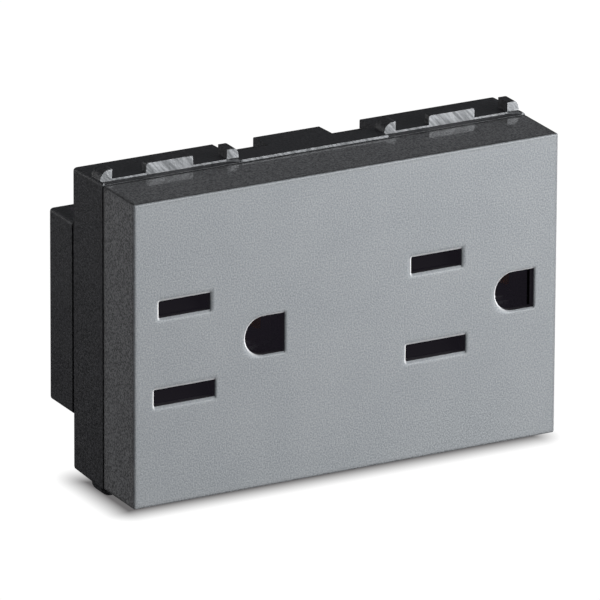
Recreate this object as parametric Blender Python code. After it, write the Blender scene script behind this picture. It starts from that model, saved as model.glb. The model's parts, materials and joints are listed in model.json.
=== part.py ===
"""Three-module duplex outlet: silver cover, black clip frame, rear housing and contact set.

Run with: blender --background --python part.py
Frame: X to the right along the face, Y from the face back into the wall, Z up.
The origin is the centre of the front face. Sizes are in millimetres; the meshes are in metres.
"""

import math

import bmesh
import bpy

MM = 0.001
GAP = 0.3
THIN_GAP = 0.15

# Face and cover
MODULE_PITCH = 22.0
MODULE_COUNT = 3
FACE_HEIGHT = 44.0
COVER_DEPTH = 9.0
COVER_SKIN = 1.2
COVER_WALL = 1.5
FACE_EDGE_RADIUS = 0.6
COVER_CORNER_RADIUS = 0.7
SLOT_RIM_CHAMFER = 0.3

# Plug openings, measured from the line through the blades
BLADE_PITCH = 12.7
BLADE_THICKNESS = 1.52
EARTH_PIN_OFFSET = 11.9
EARTH_PIN_RADIUS = 2.4
LEFT_EDGE_TO_BLADES = 7.8
BLADES_TO_RIGHT_EDGE = 19.05
HOT_SLOT_WIDTH = 7.9
NEUTRAL_SLOT_WIDTH = 9.4
SLOT_HEIGHT = 2.4
EARTH_HOLE_START = 9.35
EARTH_HOLE_WIDTH = 6.1
EARTH_HOLE_HEIGHT = 5.6

# Clip frame
OVERALL_DEPTH = 25.2
HOUSING_STEP = 7.1
FRAME_SWELL = 0.34
FRAME_WALL = 1.6
FRAME_CORNER_RADIUS = 0.5
TOWER_WALL = 1.4
PLATE_FRONT = 4.4
PLATE_THICKNESS = 1.4
LEDGE_DEPTH = 1.56
CLIP_HEIGHT = 1.66
CLIP_FIN_SHARE = 0.3
CLIP_OUTER_HALF = 10.68
CLIP_FIN_WIDTH = 1.84
CLIP_TAB_HALF = 3.6
CLIP_TAB_THICKNESS = 1.3
BAND_SHARE = 0.466
NOTCH_DEPTH = 1.4
NOTCH_INNER_HALF = 5.1
NOTCH_WIDTH = 6.5
SNAP_HALF_LENGTH = 4.0
SNAP_HEIGHT = 0.6
SNAP_LENGTH = 1.2
SNAP_SPACING = 20.0

# Rear housing
HOUSING_WALL = 1.5
HOUSING_CORNER_RADIUS = 0.5
SPIGOT_SHARE = 0.58
HOUSING_SNAP_SHARE = 0.56
SPIGOT_WALL = 1.2
FLANGE_THICKNESS = 1.0
PARTITION = 0.8

# Shutters and their springs
SHUTTER_TRAVEL = 2.9
SHUTTER_THICKNESS = 2.4
SHUTTER_LAP = 0.35
SHUTTER_SIDE_LAP = 0.7
POST_HALF_WIDTH = 2.4
POST_HEIGHT = 1.2
SPRING_LENGTH = 7.0
SPRING_RADIUS = 1.05
SPRING_WIRE_RADIUS = 0.15
SPRING_TURNS = 7
SPRING_PEG_RADIUS = 0.55
SPRING_PEG_LENGTH = 1.4
SHELF_THICKNESS = 1.2

# Contact set
BAR_THICKNESS = 0.8
BAR_CLEARANCE = 0.04
PAD_HALF_WIDTH = 3.2
PAD_FRONT = 7.0
RAIL_FRONT = 8.2
RAIL_TO_EARTH_LEG = 3.2
LEAF_THICKNESS = 0.5
LINE_LEAF_WIDTH = 5.6
NEUTRAL_LEAF_WIDTH = 7.0
NIP_DEPTH = 10.2
GRIP_THICKNESS = 0.5
GRIP_HALF_HEIGHT = 1.6
GRIP_FRONT = 6.8
EARTH_BAR_THICKNESS = 0.7
RIVET_RADIUS = 0.8
RIVET_HEAD_RADIUS = 1.3
RIVET_HEAD_HEIGHT = 0.55
EARTH_RIVET_HEAD_HEIGHT = 0.4

# Terminals
TERMINAL_SPACING = 9.2
TONGUE_HALF_WIDTH = 2.7
CAGE_HALF_WIDTH = 3.9
CAGE_LENGTH = 3.7
CAGE_WALL = 0.9
CAGE_ROOF = 1.2
WIRE_SPACE = 3.3
CLAMP_TRAVEL = 2.4
WIRE_HOLE_RADIUS = 1.3
WIRE_FUNNEL_RADIUS = 1.65
WIRE_HOLE_PITCH = 3.4
SCREW_RADIUS = 1.45
SCREW_HEAD_RADIUS = 2.3
SCREW_HEAD_HEIGHT = 1.4
SCREW_RECESS_WIDTH = 0.8
SCREW_RECESS_DEPTH = 0.7
HEAD_CLEARANCE = 0.3

ROUND_STEPS = 24

# Sizes that follow from the ones above
HALF_WIDTH = MODULE_PITCH * MODULE_COUNT / 2
HALF_HEIGHT = FACE_HEIGHT / 2
INNER_HALF_WIDTH = HALF_WIDTH - COVER_WALL
INNER_HALF_HEIGHT = HALF_HEIGHT - COVER_WALL
TOWER_HALF_WIDTH = INNER_HALF_WIDTH - GAP
TOWER_HALF_HEIGHT = INNER_HALF_HEIGHT - GAP
PLATE_BACK = PLATE_FRONT + PLATE_THICKNESS
FRAME_FRONT = COVER_DEPTH + GAP
FRAME_BACK = OVERALL_DEPTH - HOUSING_STEP
FRAME_BACK_WALL_FRONT = FRAME_BACK - FRAME_WALL
CLIP_PLANE = COVER_DEPTH + LEDGE_DEPTH
HOUSING_FRONT = FRAME_BACK + GAP
HOUSING_INNER_BACK = OVERALL_DEPTH - HOUSING_WALL
FRAME_LENGTH = FRAME_BACK - FRAME_FRONT
BAND_BACK = FRAME_FRONT + BAND_SHARE * FRAME_LENGTH
CLIP_FIN_LENGTH = CLIP_FIN_SHARE * FRAME_LENGTH
SPIGOT_FRONT = FRAME_BACK - SPIGOT_SHARE * FRAME_LENGTH
HOUSING_SNAP_BACK = FRAME_BACK_WALL_FRONT - GAP
HOUSING_SNAP_FRONT = HOUSING_SNAP_BACK - HOUSING_SNAP_SHARE * (HOUSING_SNAP_BACK - SPIGOT_FRONT)
BLADE_LINES = {
    "left": -HALF_WIDTH + LEFT_EDGE_TO_BLADES,
    "right": HALF_WIDTH - BLADES_TO_RIGHT_EDGE,
}
BLADE_Z = BLADE_PITCH / 2
BAR_UNDER = BLADE_Z + BLADE_THICKNESS / 2 + BAR_CLEARANCE
BAR_TOP = BAR_UNDER + BAR_THICKNESS
CONTACT_BACK = HOUSING_INNER_BACK - 0.5
TERMINAL_MID = (BLADE_LINES["left"] + BLADE_LINES["right"]) / 2
CAGE_BACK = HOUSING_INNER_BACK - GAP
CAGE_FRONT = CAGE_BACK - CAGE_LENGTH
CAGE_CENTRE = (CAGE_FRONT + CAGE_BACK) / 2
EARTH_LEG_FRONT = CAGE_FRONT - 1.5
CAGE_TOP = BAR_TOP + GAP + CAGE_ROOF
CAGE_BOTTOM = BAR_UNDER - WIRE_SPACE - CAGE_WALL
SCREW_HEAD_UNDER = CAGE_TOP + CLAMP_TRAVEL + 0.45
HOUSING_HALF_HEIGHT = SCREW_HEAD_UNDER + SCREW_HEAD_HEIGHT + 0.3
HOUSING_INNER_HALF_HEIGHT = HOUSING_HALF_HEIGHT - HOUSING_WALL
WINDOW_HALF_HEIGHT = HOUSING_INNER_HALF_HEIGHT
SPIGOT_HALF_HEIGHT = WINDOW_HALF_HEIGHT - GAP
SPIGOT_HALF_WIDTH = HALF_WIDTH - FRAME_WALL - GAP
LEAF_LOW = BLADE_Z - 2.1 - LEAF_THICKNESS / 2
RIB_Z = (GRIP_HALF_HEIGHT + LEAF_LOW) / 2
RIB_THICKNESS = 0.6
TERMINALS = {
    "line": (TERMINAL_MID - TERMINAL_SPACING / 2, 1),
    "neutral": (TERMINAL_MID, -1),
    "earth": (TERMINAL_MID + TERMINAL_SPACING / 2, 1),
}


# Meshes and Booleans


def add_object(name, verts, faces, at=(0.0, 0.0, 0.0)):
    """An object with its origin at the point given; vertices and the point are in millimetres."""
    mesh = bpy.data.meshes.new(name)
    local = [[(v[i] - at[i]) * MM for i in range(3)] for v in verts]
    mesh.from_pydata(local, [], faces)
    work = bmesh.new()
    work.from_mesh(mesh)
    bmesh.ops.recalc_face_normals(work, faces=work.faces)
    work.to_mesh(mesh)
    work.free()
    obj = bpy.data.objects.new(name, mesh)
    obj.location = [c * MM for c in at]
    bpy.context.scene.collection.objects.link(obj)
    return obj


def loft(name, rings, at=(0.0, 0.0, 0.0)):
    """A closed solid through rings of equal point counts."""
    count = len(rings[0])
    verts = [point for ring in rings for point in ring]
    faces = [list(range(count)), list(range((len(rings) - 1) * count, len(rings) * count))]
    for layer in range(len(rings) - 1):
        for i in range(count):
            j = (i + 1) % count
            a = layer * count
            faces.append([a + i, a + j, a + count + j, a + count + i])
    return add_object(name, verts, faces, at)


def along(axis, pair, depth):
    """The 3-D point of a profile point, which runs through the other two axes in X, Y, Z order."""
    point = list(pair)
    point.insert("XYZ".index(axis), depth)
    return point


def prism(name, profile, axis, low, high, at=(0.0, 0.0, 0.0)):
    rings = [[along(axis, pair, depth) for pair in profile] for depth in (low, high)]
    return loft(name, rings, at)


def block(name, x, y, z, at=(0.0, 0.0, 0.0)):
    profile = [(x[0], y[0]), (x[1], y[0]), (x[1], y[1]), (x[0], y[1])]
    return prism(name, profile, "Z", z[0], z[1], at)


def turned(name, axis, centre, sections, at=(0.0, 0.0, 0.0), steps=ROUND_STEPS):
    """A round solid: sections are (radius, depth) along the axis, from one end to the other."""
    rings = []
    for radius, depth in sections:
        turns = [2 * math.pi * k / steps for k in range(steps)]
        ring = [(centre[0] + radius * math.cos(t), centre[1] + radius * math.sin(t)) for t in turns]
        rings.append([along(axis, pair, depth) for pair in ring])
    return loft(name, rings, at)


def boolean(target, other, operation):
    """Adds or cuts a helper solid, which stays in the file but isn't a node."""
    modifier = target.modifiers.new(other.name, "BOOLEAN")
    modifier.operation = operation
    modifier.solver = "EXACT"
    modifier.object = other
    other.hide_render = True
    other.display_type = "WIRE"


def cut(target, *others):
    for other in others:
        boolean(target, other, "DIFFERENCE")


def gathered(name, helpers):
    """One helper object made of several that stand clear of each other."""
    work = bmesh.new()
    for helper in helpers:
        work.from_mesh(helper.data)
        bpy.data.objects.remove(helper, do_unlink=True)
    mesh = bpy.data.meshes.new(name)
    work.to_mesh(mesh)
    work.free()
    obj = bpy.data.objects.new(name, mesh)
    bpy.context.scene.collection.objects.link(obj)
    return obj


def join(target, *others):
    for other in others:
        boolean(target, other, "UNION")


def round_edges(obj, chosen, radius, segments=3):
    """Rounds the edges whose two ends (in millimetres) the test picks."""
    work = bmesh.new()
    work.from_mesh(obj.data)
    offset = obj.location
    edges = []
    for edge in work.edges:
        ends = [[(v.co[i] + offset[i]) / MM for i in range(3)] for v in edge.verts]
        if chosen(ends[0], ends[1]):
            edges.append(edge)
    bmesh.ops.bevel(
        work, geom=edges, offset=radius * MM, segments=segments, profile=0.5, affect="EDGES"
    )
    work.to_mesh(obj.data)
    work.free()


def runs_along(axis):
    """A test for edges that run along one axis."""
    k = "XYZ".index(axis)
    return lambda a, b: all(abs(a[i] - b[i]) < 1.0 for i in range(3) if i != k)


def lies_at(axis, depth):
    """A test for edges that lie in one plane."""
    k = "XYZ".index(axis)
    return lambda a, b: abs(a[k] - depth) < 1e-3 and abs(b[k] - depth) < 1e-3


def strip(centreline, thickness):
    """The outline of a bent strip of even thickness about its centreline."""
    offsets = []
    last = len(centreline) - 1
    for i, (u, v) in enumerate(centreline):
        before = centreline[max(i - 1, 0)]
        after = centreline[min(i + 1, last)]
        first = (u - before[0], v - before[1]) if i else (after[0] - u, after[1] - v)
        second = (after[0] - u, after[1] - v) if i < last else first
        a = math.atan2(first[1], first[0])
        b = math.atan2(second[1], second[0])
        half = math.remainder(b - a, 2 * math.pi) / 2
        reach = thickness / 2 / math.cos(half)
        offsets.append((-math.sin(a + half) * reach, math.cos(a + half) * reach))
    left = [(p[0] + o[0], p[1] + o[1]) for p, o in zip(centreline, offsets)]
    right = [(p[0] - o[0], p[1] - o[1]) for p, o in zip(centreline, offsets)]
    return left + right[::-1]


def grown(profile, amount):
    """A convex outline moved outward by an even amount."""
    area = sum(
        a[0] * b[1] - b[0] * a[1] for a, b in zip(profile, profile[1:] + profile[:1])
    )
    side = 1 if area > 0 else -1
    moved = []
    for i, point in enumerate(profile):
        before = profile[i - 1]
        after = profile[(i + 1) % len(profile)]
        a = math.atan2(point[1] - before[1], point[0] - before[0])
        b = math.atan2(after[1] - point[1], after[0] - point[0])
        half = math.remainder(b - a, 2 * math.pi) / 2
        reach = side * amount / math.cos(half)
        moved.append((point[0] + math.sin(a + half) * reach, point[1] - math.cos(a + half) * reach))
    return moved


# Materials


def paint(obj, colour, metallic, roughness):
    material = bpy.data.materials.new(obj.name)
    material.use_nodes = True
    shader = material.node_tree.nodes["Principled BSDF"]
    shader.inputs["Base Color"].default_value = (*colour, 1.0)
    shader.inputs["Metallic"].default_value = metallic
    shader.inputs["Roughness"].default_value = roughness
    obj.data.materials.append(material)
    return obj


def silver_paint(obj):
    return paint(obj, (0.34, 0.36, 0.38), 0.55, 0.42)


def black_plastic(obj):
    return paint(obj, (0.022, 0.022, 0.024), 0.0, 0.45)


def shutter_plastic(obj):
    return paint(obj, (0.008, 0.008, 0.009), 0.0, 0.6)


def brass(obj):
    return paint(obj, (0.62, 0.43, 0.17), 1.0, 0.3)


def bronze(obj):
    return paint(obj, (0.58, 0.36, 0.2), 1.0, 0.28)


def steel(obj):
    return paint(obj, (0.55, 0.55, 0.54), 1.0, 0.3)


def zinc(obj):
    return paint(obj, (0.6, 0.61, 0.62), 1.0, 0.35)


def smooth(obj, degrees=30):
    """Shades a round piece smooth and keeps its corners sharp."""
    obj.data.shade_smooth()
    obj.data.set_sharp_from_angle(angle=math.radians(degrees))
    return obj


# Plug openings


def slot_outline(centre_x, centre_z, width):
    x = (centre_x - width / 2, centre_x + width / 2)
    z = (centre_z - SLOT_HEIGHT / 2, centre_z + SLOT_HEIGHT / 2)
    return [(x[0], z[0]), (x[1], z[0]), (x[1], z[1]), (x[0], z[1])]


def earth_outline(blade_x):
    """A D lying on its side: round towards the blades, flat on the right."""
    radius = EARTH_HOLE_HEIGHT / 2
    left = blade_x + EARTH_HOLE_START
    right = left + EARTH_HOLE_WIDTH
    turns = [math.pi / 2 + math.pi * k / 12 for k in range(13)]
    arc = [(left + radius + radius * math.cos(t), radius * math.sin(t)) for t in turns]
    return arc + [(right, -radius), (right, radius)]


def opening_outlines(blade_x):
    return {
        "hot": slot_outline(blade_x, BLADE_Z, HOT_SLOT_WIDTH),
        "neutral": slot_outline(blade_x, -BLADE_Z, NEUTRAL_SLOT_WIDTH),
        "earth": earth_outline(blade_x),
    }


def cover_opening(name, outline):
    """A cutter for one opening in the skin, with a small chamfer at the face."""
    wide = grown(outline, SLOT_RIM_CHAMFER + 1.0)
    depths = [(wide, -1.0), (outline, SLOT_RIM_CHAMFER), (outline, COVER_SKIN + 1.0)]
    return loft(name, [[along("Y", pair, y) for pair in ring] for ring, y in depths])


# Front cover


def snap_places():
    return [SNAP_SPACING * k for k in (-1, 0, 1)]


def cover_snap(x, side):
    """A ridge inside the cover's wall that clicks into the frame's groove."""
    wall = side * (INNER_HALF_HEIGHT + 0.3)
    tip = side * (INNER_HALF_HEIGHT - SNAP_HEIGHT)
    back = COVER_DEPTH - 0.6
    profile = [(back, wall), (back - 0.3, tip), (back - 0.7, tip), (back - SNAP_LENGTH, wall)]
    span = (x - SNAP_HALF_LENGTH, x + SNAP_HALF_LENGTH)
    return prism(f"cover_snap_{x:.0f}_{side}", profile, "X", *span)


def make_front_cover():
    cover = block(
        "front_cover",
        (-HALF_WIDTH, HALF_WIDTH),
        (0.0, COVER_DEPTH),
        (-HALF_HEIGHT, HALF_HEIGHT),
    )
    round_edges(cover, runs_along("Y"), COVER_CORNER_RADIUS)
    round_edges(cover, lies_at("Y", 0.0), FACE_EDGE_RADIUS, 4)
    hollow = block(
        "cover_hollow",
        (-INNER_HALF_WIDTH, INNER_HALF_WIDTH),
        (COVER_SKIN, COVER_DEPTH + 1.0),
        (-INNER_HALF_HEIGHT, INNER_HALF_HEIGHT),
    )
    cut(cover, hollow)
    openings = []
    for blade_x in BLADE_LINES.values():
        for outline in opening_outlines(blade_x).values():
            openings.append(cover_opening("opening", outline))
    cut(cover, gathered("cover_openings", openings))
    snaps = [cover_snap(x, side) for x in snap_places() for side in (1, -1)]
    join(cover, gathered("cover_snaps", snaps))
    return smooth(silver_paint(cover))


# Clip frame


def frame_body():
    """The rear band of the frame, a little taller at its front than at its back."""
    front = HALF_HEIGHT + FRAME_SWELL
    rings = []
    for y, z in ((FRAME_FRONT, front), (FRAME_BACK, HALF_HEIGHT)):
        corners = [(-HALF_WIDTH, -z), (HALF_WIDTH, -z), (HALF_WIDTH, z), (-HALF_WIDTH, z)]
        rings.append([along("Y", pair, y) for pair in corners])
    body = loft("clip_frame", rings)
    round_edges(body, runs_along("Y"), FRAME_CORNER_RADIUS)
    round_edges(body, lies_at("Y", FRAME_BACK), FRAME_CORNER_RADIUS / 2, 2)
    return body


def frame_tower():
    return block(
        "frame_tower",
        (-TOWER_HALF_WIDTH, TOWER_HALF_WIDTH),
        (PLATE_FRONT, FRAME_FRONT + 0.5),
        (-TOWER_HALF_HEIGHT, TOWER_HALF_HEIGHT),
    )


def tower_hollow():
    x = TOWER_HALF_WIDTH - TOWER_WALL
    z = TOWER_HALF_HEIGHT - TOWER_WALL
    return block("tower_hollow", (-x, x), (PLATE_BACK, FRAME_BACK_WALL_FRONT), (-z, z))


def body_hollow():
    x = HALF_WIDTH - FRAME_WALL
    z = HALF_HEIGHT - FRAME_WALL
    return block(
        "body_hollow", (-x, x), (FRAME_FRONT + FRAME_WALL, FRAME_BACK_WALL_FRONT), (-z, z)
    )


def back_window():
    x = HALF_WIDTH - FRAME_WALL
    return block(
        "back_window",
        (-x, x),
        (FRAME_BACK_WALL_FRONT - 0.5, FRAME_BACK + 0.5),
        (-WINDOW_HALF_HEIGHT, WINDOW_HALF_HEIGHT),
    )


def plate_opening(name, outline):
    outline = grown(outline, THIN_GAP)
    return prism(name, outline, "Y", PLATE_FRONT - 1.0, PLATE_BACK + 1.0)


def cover_snap_groove(x, side):
    z = sorted([side * (TOWER_HALF_HEIGHT - SNAP_HEIGHT), side * (TOWER_HALF_HEIGHT + 1.0)])
    y = (COVER_DEPTH - 0.6 - SNAP_LENGTH - GAP, COVER_DEPTH - 0.6 + GAP)
    span = (x - SNAP_HALF_LENGTH - GAP, x + SNAP_HALF_LENGTH + GAP)
    return block(f"snap_groove_{x:.0f}_{side}", span, y, z)


def clip_ledge(cluster_x, side, name):
    """The step in front of a clip group; its right end runs out at a slant."""
    left = cluster_x - CLIP_OUTER_HALF
    right = cluster_x + CLIP_OUTER_HALF
    floor = sorted([side * HALF_HEIGHT, side * (HALF_HEIGHT + 2.0)])
    profile = [
        (left, FRAME_FRONT - 1.0),
        (right + 0.1, FRAME_FRONT - 1.0),
        (right - 0.3, FRAME_FRONT + 0.1),
        (right - 1.9, CLIP_PLANE),
        (left, CLIP_PLANE),
    ]
    return prism(name, profile, "Z", *floor)


def clip_fin(cluster_x, end, side, name):
    """One outer fin: upright on its inner side and rounded on its outer side."""
    outer = cluster_x + end * CLIP_OUTER_HALF
    inner = outer - end * CLIP_FIN_WIDTH
    round_x = 1.5 if end < 0 else 0.7
    round_z = CLIP_HEIGHT - 0.15
    top = HALF_HEIGHT + CLIP_HEIGHT
    turns = [math.pi / 2 * k / 5 for k in range(6)]
    curve = [
        (
            outer - end * round_x * (1 - math.sin(t)),
            top - round_z * (1 - math.cos(t)),
        )
        for t in turns
    ]
    profile = [(inner, HALF_HEIGHT - 0.4), (inner, top)] + curve + [(outer, HALF_HEIGHT - 0.4)]
    profile = [(x, side * z) for x, z in profile]
    return prism(name, profile, "Y", CLIP_PLANE, CLIP_PLANE + CLIP_FIN_LENGTH)


def clip_tab(cluster_x, side, name):
    """The middle tab, which springs over the wall frame's edge."""
    top = HALF_HEIGHT + CLIP_HEIGHT
    corner = 0.3
    profile = [
        (-CLIP_TAB_HALF, HALF_HEIGHT - 0.4),
        (CLIP_TAB_HALF, HALF_HEIGHT - 0.4),
        (CLIP_TAB_HALF, top - corner),
        (CLIP_TAB_HALF - 0.09, top - 0.09),
        (CLIP_TAB_HALF - corner, top),
        (-CLIP_TAB_HALF + corner, top),
        (-CLIP_TAB_HALF + 0.09, top - 0.09),
        (-CLIP_TAB_HALF, top - corner),
    ]
    profile = [(cluster_x + x, side * z) for x, z in profile]
    return prism(name, profile, "Y", CLIP_PLANE, CLIP_PLANE + CLIP_TAB_THICKNESS)


def clip_notch(end, side):
    """A relief at the back of the band, beside its middle block."""
    x = sorted([end * NOTCH_INNER_HALF, end * (NOTCH_INNER_HALF + NOTCH_WIDTH)])
    z = sorted([side * (HALF_HEIGHT - NOTCH_DEPTH), side * (HALF_HEIGHT + 2.0)])
    return block(f"notch_{end}_{side}", x, (BAND_BACK, FRAME_BACK + 1.0), z)


def guide_post(blade_x, name):
    """The post that guides a shutter and stops it at each end of its travel."""
    return block(
        name,
        (blade_x - POST_HALF_WIDTH, blade_x + POST_HALF_WIDTH),
        (COVER_SKIN + GAP, PLATE_FRONT + 0.4),
        (post_low(), post_low() + POST_HEIGHT),
    )


def spring_shelf(blade_x, name):
    top = shutter_low() - SPRING_LENGTH
    return block(
        name,
        (blade_x - 3.0, blade_x + 3.0),
        (COVER_SKIN + GAP, PLATE_FRONT + 0.4),
        (top - SHELF_THICKNESS, top),
    )


def shelf_peg(blade_x, name):
    top = shutter_low() - SPRING_LENGTH
    sections = [(SPRING_PEG_RADIUS, top - 0.4), (SPRING_PEG_RADIUS, top + SPRING_PEG_LENGTH)]
    return turned(name, "Z", (blade_x, shutter_middle()), sections, steps=12)


def pole_rib(side):
    """The rib between the blade contacts and the earth grips."""
    x = SPIGOT_HALF_WIDTH - SPIGOT_WALL - GAP
    z = sorted([side * (RIB_Z - RIB_THICKNESS / 2), side * (RIB_Z + RIB_THICKNESS / 2)])
    return block(f"pole_rib_{side}", (-x, x), (PLATE_BACK - 0.4, EARTH_LEG_FRONT - 0.6), z)


def pad_seat(blade_x, side, name):
    """The block on the plate's back that holds the front end of a bar."""
    z = sorted([side * (BAR_TOP + GAP), side * (BAR_TOP + GAP + 1.4)])
    return block(name, (blade_x - 2.5, blade_x + 2.5), (PLATE_BACK - 0.4, PAD_FRONT + 1.2), z)


def make_clip_frame():
    frame = frame_body()
    join(frame, frame_tower())
    cut(frame, tower_hollow(), body_hollow(), back_window())
    for side, blade_x in BLADE_LINES.items():
        for pole, outline in opening_outlines(blade_x).items():
            cut(frame, plate_opening(f"plate_{pole}_{side}", outline))
        join(frame, guide_post(blade_x, f"guide_post_{side}"))
        join(frame, spring_shelf(blade_x, f"spring_shelf_{side}"))
        join(frame, shelf_peg(blade_x, f"shelf_peg_{side}"))
        join(frame, pad_seat(blade_x, 1, f"hot_seat_{side}"))
        join(frame, pad_seat(blade_x, -1, f"neutral_seat_{side}"))
    join(frame, pole_rib(1), pole_rib(-1))
    for x in snap_places():
        cut(frame, cover_snap_groove(x, 1), cover_snap_groove(x, -1))
    for side in (1, -1):
        for end in (-1, 1):
            cluster_x = end * MODULE_PITCH
            tag = f"{end}_{side}"
            cut(frame, clip_ledge(cluster_x, side, f"ledge_{tag}"), clip_notch(end, side))
            join(frame, clip_fin(cluster_x, -1, side, f"fin_left_{tag}"))
            join(frame, clip_fin(cluster_x, 1, side, f"fin_right_{tag}"))
            join(frame, clip_tab(cluster_x, side, f"tab_{tag}"))
    return smooth(black_plastic(frame))


# Shutters


def shutter_low():
    return -BLADE_Z - SLOT_HEIGHT / 2 - SHUTTER_LAP


def shutter_high():
    return BLADE_Z + SLOT_HEIGHT / 2 + SHUTTER_LAP


def shutter_front():
    return COVER_SKIN + (PLATE_FRONT - COVER_SKIN - SHUTTER_THICKNESS) / 2


def shutter_middle():
    return shutter_front() + SHUTTER_THICKNESS / 2


def post_low():
    return -0.9


def shutter_ramp(blade_x, slot_low, name):
    """The wedge cut from the front face, which a blade pushes on to slide the shutter down."""
    front = shutter_front()
    low = slot_low
    high = slot_low + SLOT_HEIGHT + SHUTTER_LAP
    profile = [(front - 1.0, low), (front, low), (front + 1.7, high), (front - 1.0, high)]
    half = NEUTRAL_SLOT_WIDTH / 2 + 0.2
    return prism(name, profile, "X", blade_x - half, blade_x + half)


def shutter_windows(blade_x, side):
    """The blade's way through beside the lower ramp, and the guide post's window."""
    y = (shutter_front() - 1.0, shutter_front() + SHUTTER_THICKNESS + 1.0)
    low = -BLADE_Z + SLOT_HEIGHT / 2 + 0.2
    half = NEUTRAL_SLOT_WIDTH / 2 - 0.1
    blade_way = block(
        f"blade_way_{side}", (blade_x - half, blade_x + half), y, (low, low + SHUTTER_TRAVEL - 0.2)
    )
    guide = block(
        f"guide_window_{side}",
        (blade_x - POST_HALF_WIDTH - GAP, blade_x + POST_HALF_WIDTH + GAP),
        y,
        (post_low() - GAP, post_low() + POST_HEIGHT + SHUTTER_TRAVEL + GAP),
    )
    return blade_way, guide


def make_shutter(side, blade_x):
    half = NEUTRAL_SLOT_WIDTH / 2 + SHUTTER_SIDE_LAP
    front = shutter_front()
    at = (blade_x, shutter_middle(), 0.0)
    shutter = block(
        f"shutter_{side}",
        (blade_x - half, blade_x + half),
        (front, front + SHUTTER_THICKNESS),
        (shutter_low(), shutter_high()),
        at,
    )
    cut(shutter, shutter_ramp(blade_x, BLADE_Z - SLOT_HEIGHT / 2, f"hot_ramp_{side}"))
    cut(shutter, shutter_ramp(blade_x, -BLADE_Z - SLOT_HEIGHT / 2, f"neutral_ramp_{side}"))
    cut(shutter, *shutter_windows(blade_x, side))
    sections = [
        (SPRING_PEG_RADIUS, shutter_low() + 0.4),
        (SPRING_PEG_RADIUS, shutter_low() - SPRING_PEG_LENGTH),
    ]
    peg = turned(f"shutter_peg_{side}", "Z", (blade_x, shutter_middle()), sections, steps=12)
    join(shutter, peg)
    return shutter_plastic(shutter)


def make_spring(side, blade_x):
    """A close-wound wire from the shelf up to the shutter."""
    centre_y = shutter_middle()
    low = shutter_low() - SPRING_LENGTH + SPRING_WIRE_RADIUS + 0.1
    high = shutter_low() - SPRING_WIRE_RADIUS - 0.1
    steps = 10 * SPRING_TURNS
    rings = []
    for k in range(steps + 1):
        turn = 2 * math.pi * k / 10
        z = low + (high - low) * k / steps
        ring = []
        for s in range(6):
            a = 2 * math.pi * s / 6
            radius = SPRING_RADIUS + SPRING_WIRE_RADIUS * math.cos(a)
            ring.append(
                (
                    blade_x + radius * math.cos(turn),
                    centre_y + radius * math.sin(turn),
                    z + SPRING_WIRE_RADIUS * math.sin(a),
                )
            )
        rings.append(ring)
    at = (blade_x, centre_y, shutter_low() - SPRING_LENGTH)
    return smooth(steel(loft(f"shutter_spring_{side}", rings, at)), 60)


# Current bars


def make_blade_bar(pole, side):
    """A flat stamping: one rail, a pad over each blade and the terminal tongue."""
    z = sorted([side * BAR_UNDER, side * BAR_TOP])
    lines = sorted(BLADE_LINES.values())
    tongue_x = TERMINALS[pole][0]
    rail_back = EARTH_LEG_FRONT - RAIL_TO_EARTH_LEG
    points = [(lines[0] - PAD_HALF_WIDTH, PAD_FRONT)]
    points.append((lines[0] + PAD_HALF_WIDTH, PAD_FRONT))
    points.append((lines[0] + PAD_HALF_WIDTH, RAIL_FRONT))
    points.append((lines[1] - PAD_HALF_WIDTH, RAIL_FRONT))
    points.append((lines[1] - PAD_HALF_WIDTH, PAD_FRONT))
    points.append((lines[1] + PAD_HALF_WIDTH, PAD_FRONT))
    points.append((lines[1] + PAD_HALF_WIDTH, CONTACT_BACK))
    points.append((lines[1] - PAD_HALF_WIDTH, CONTACT_BACK))
    points.append((lines[1] - PAD_HALF_WIDTH, rail_back))
    points.append((tongue_x + TONGUE_HALF_WIDTH, rail_back))
    points.append((tongue_x + TONGUE_HALF_WIDTH, CONTACT_BACK))
    points.append((tongue_x - TONGUE_HALF_WIDTH, CONTACT_BACK))
    points.append((tongue_x - TONGUE_HALF_WIDTH, rail_back))
    points.append((lines[0] + PAD_HALF_WIDTH, rail_back))
    points.append((lines[0] + PAD_HALF_WIDTH, CONTACT_BACK))
    points.append((lines[0] - PAD_HALF_WIDTH, CONTACT_BACK))
    bar = prism(f"{pole}_bar", points, "Z", *z)
    for place, blade_x in BLADE_LINES.items():
        radius = RIVET_RADIUS + THIN_GAP
        hole = [(radius, side * (BAR_UNDER - 1)), (radius, side * (BAR_TOP + 1))]
        cut(bar, turned(f"{pole}_bar_hole_{place}", "Z", (blade_x, leaf_rivet_y()), hole, steps=16))
    return brass(bar)


def earth_lines():
    return {side: blade_x + EARTH_PIN_OFFSET for side, blade_x in BLADE_LINES.items()}


def earth_flange_front():
    return grip_base_back() + THIN_GAP


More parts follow.
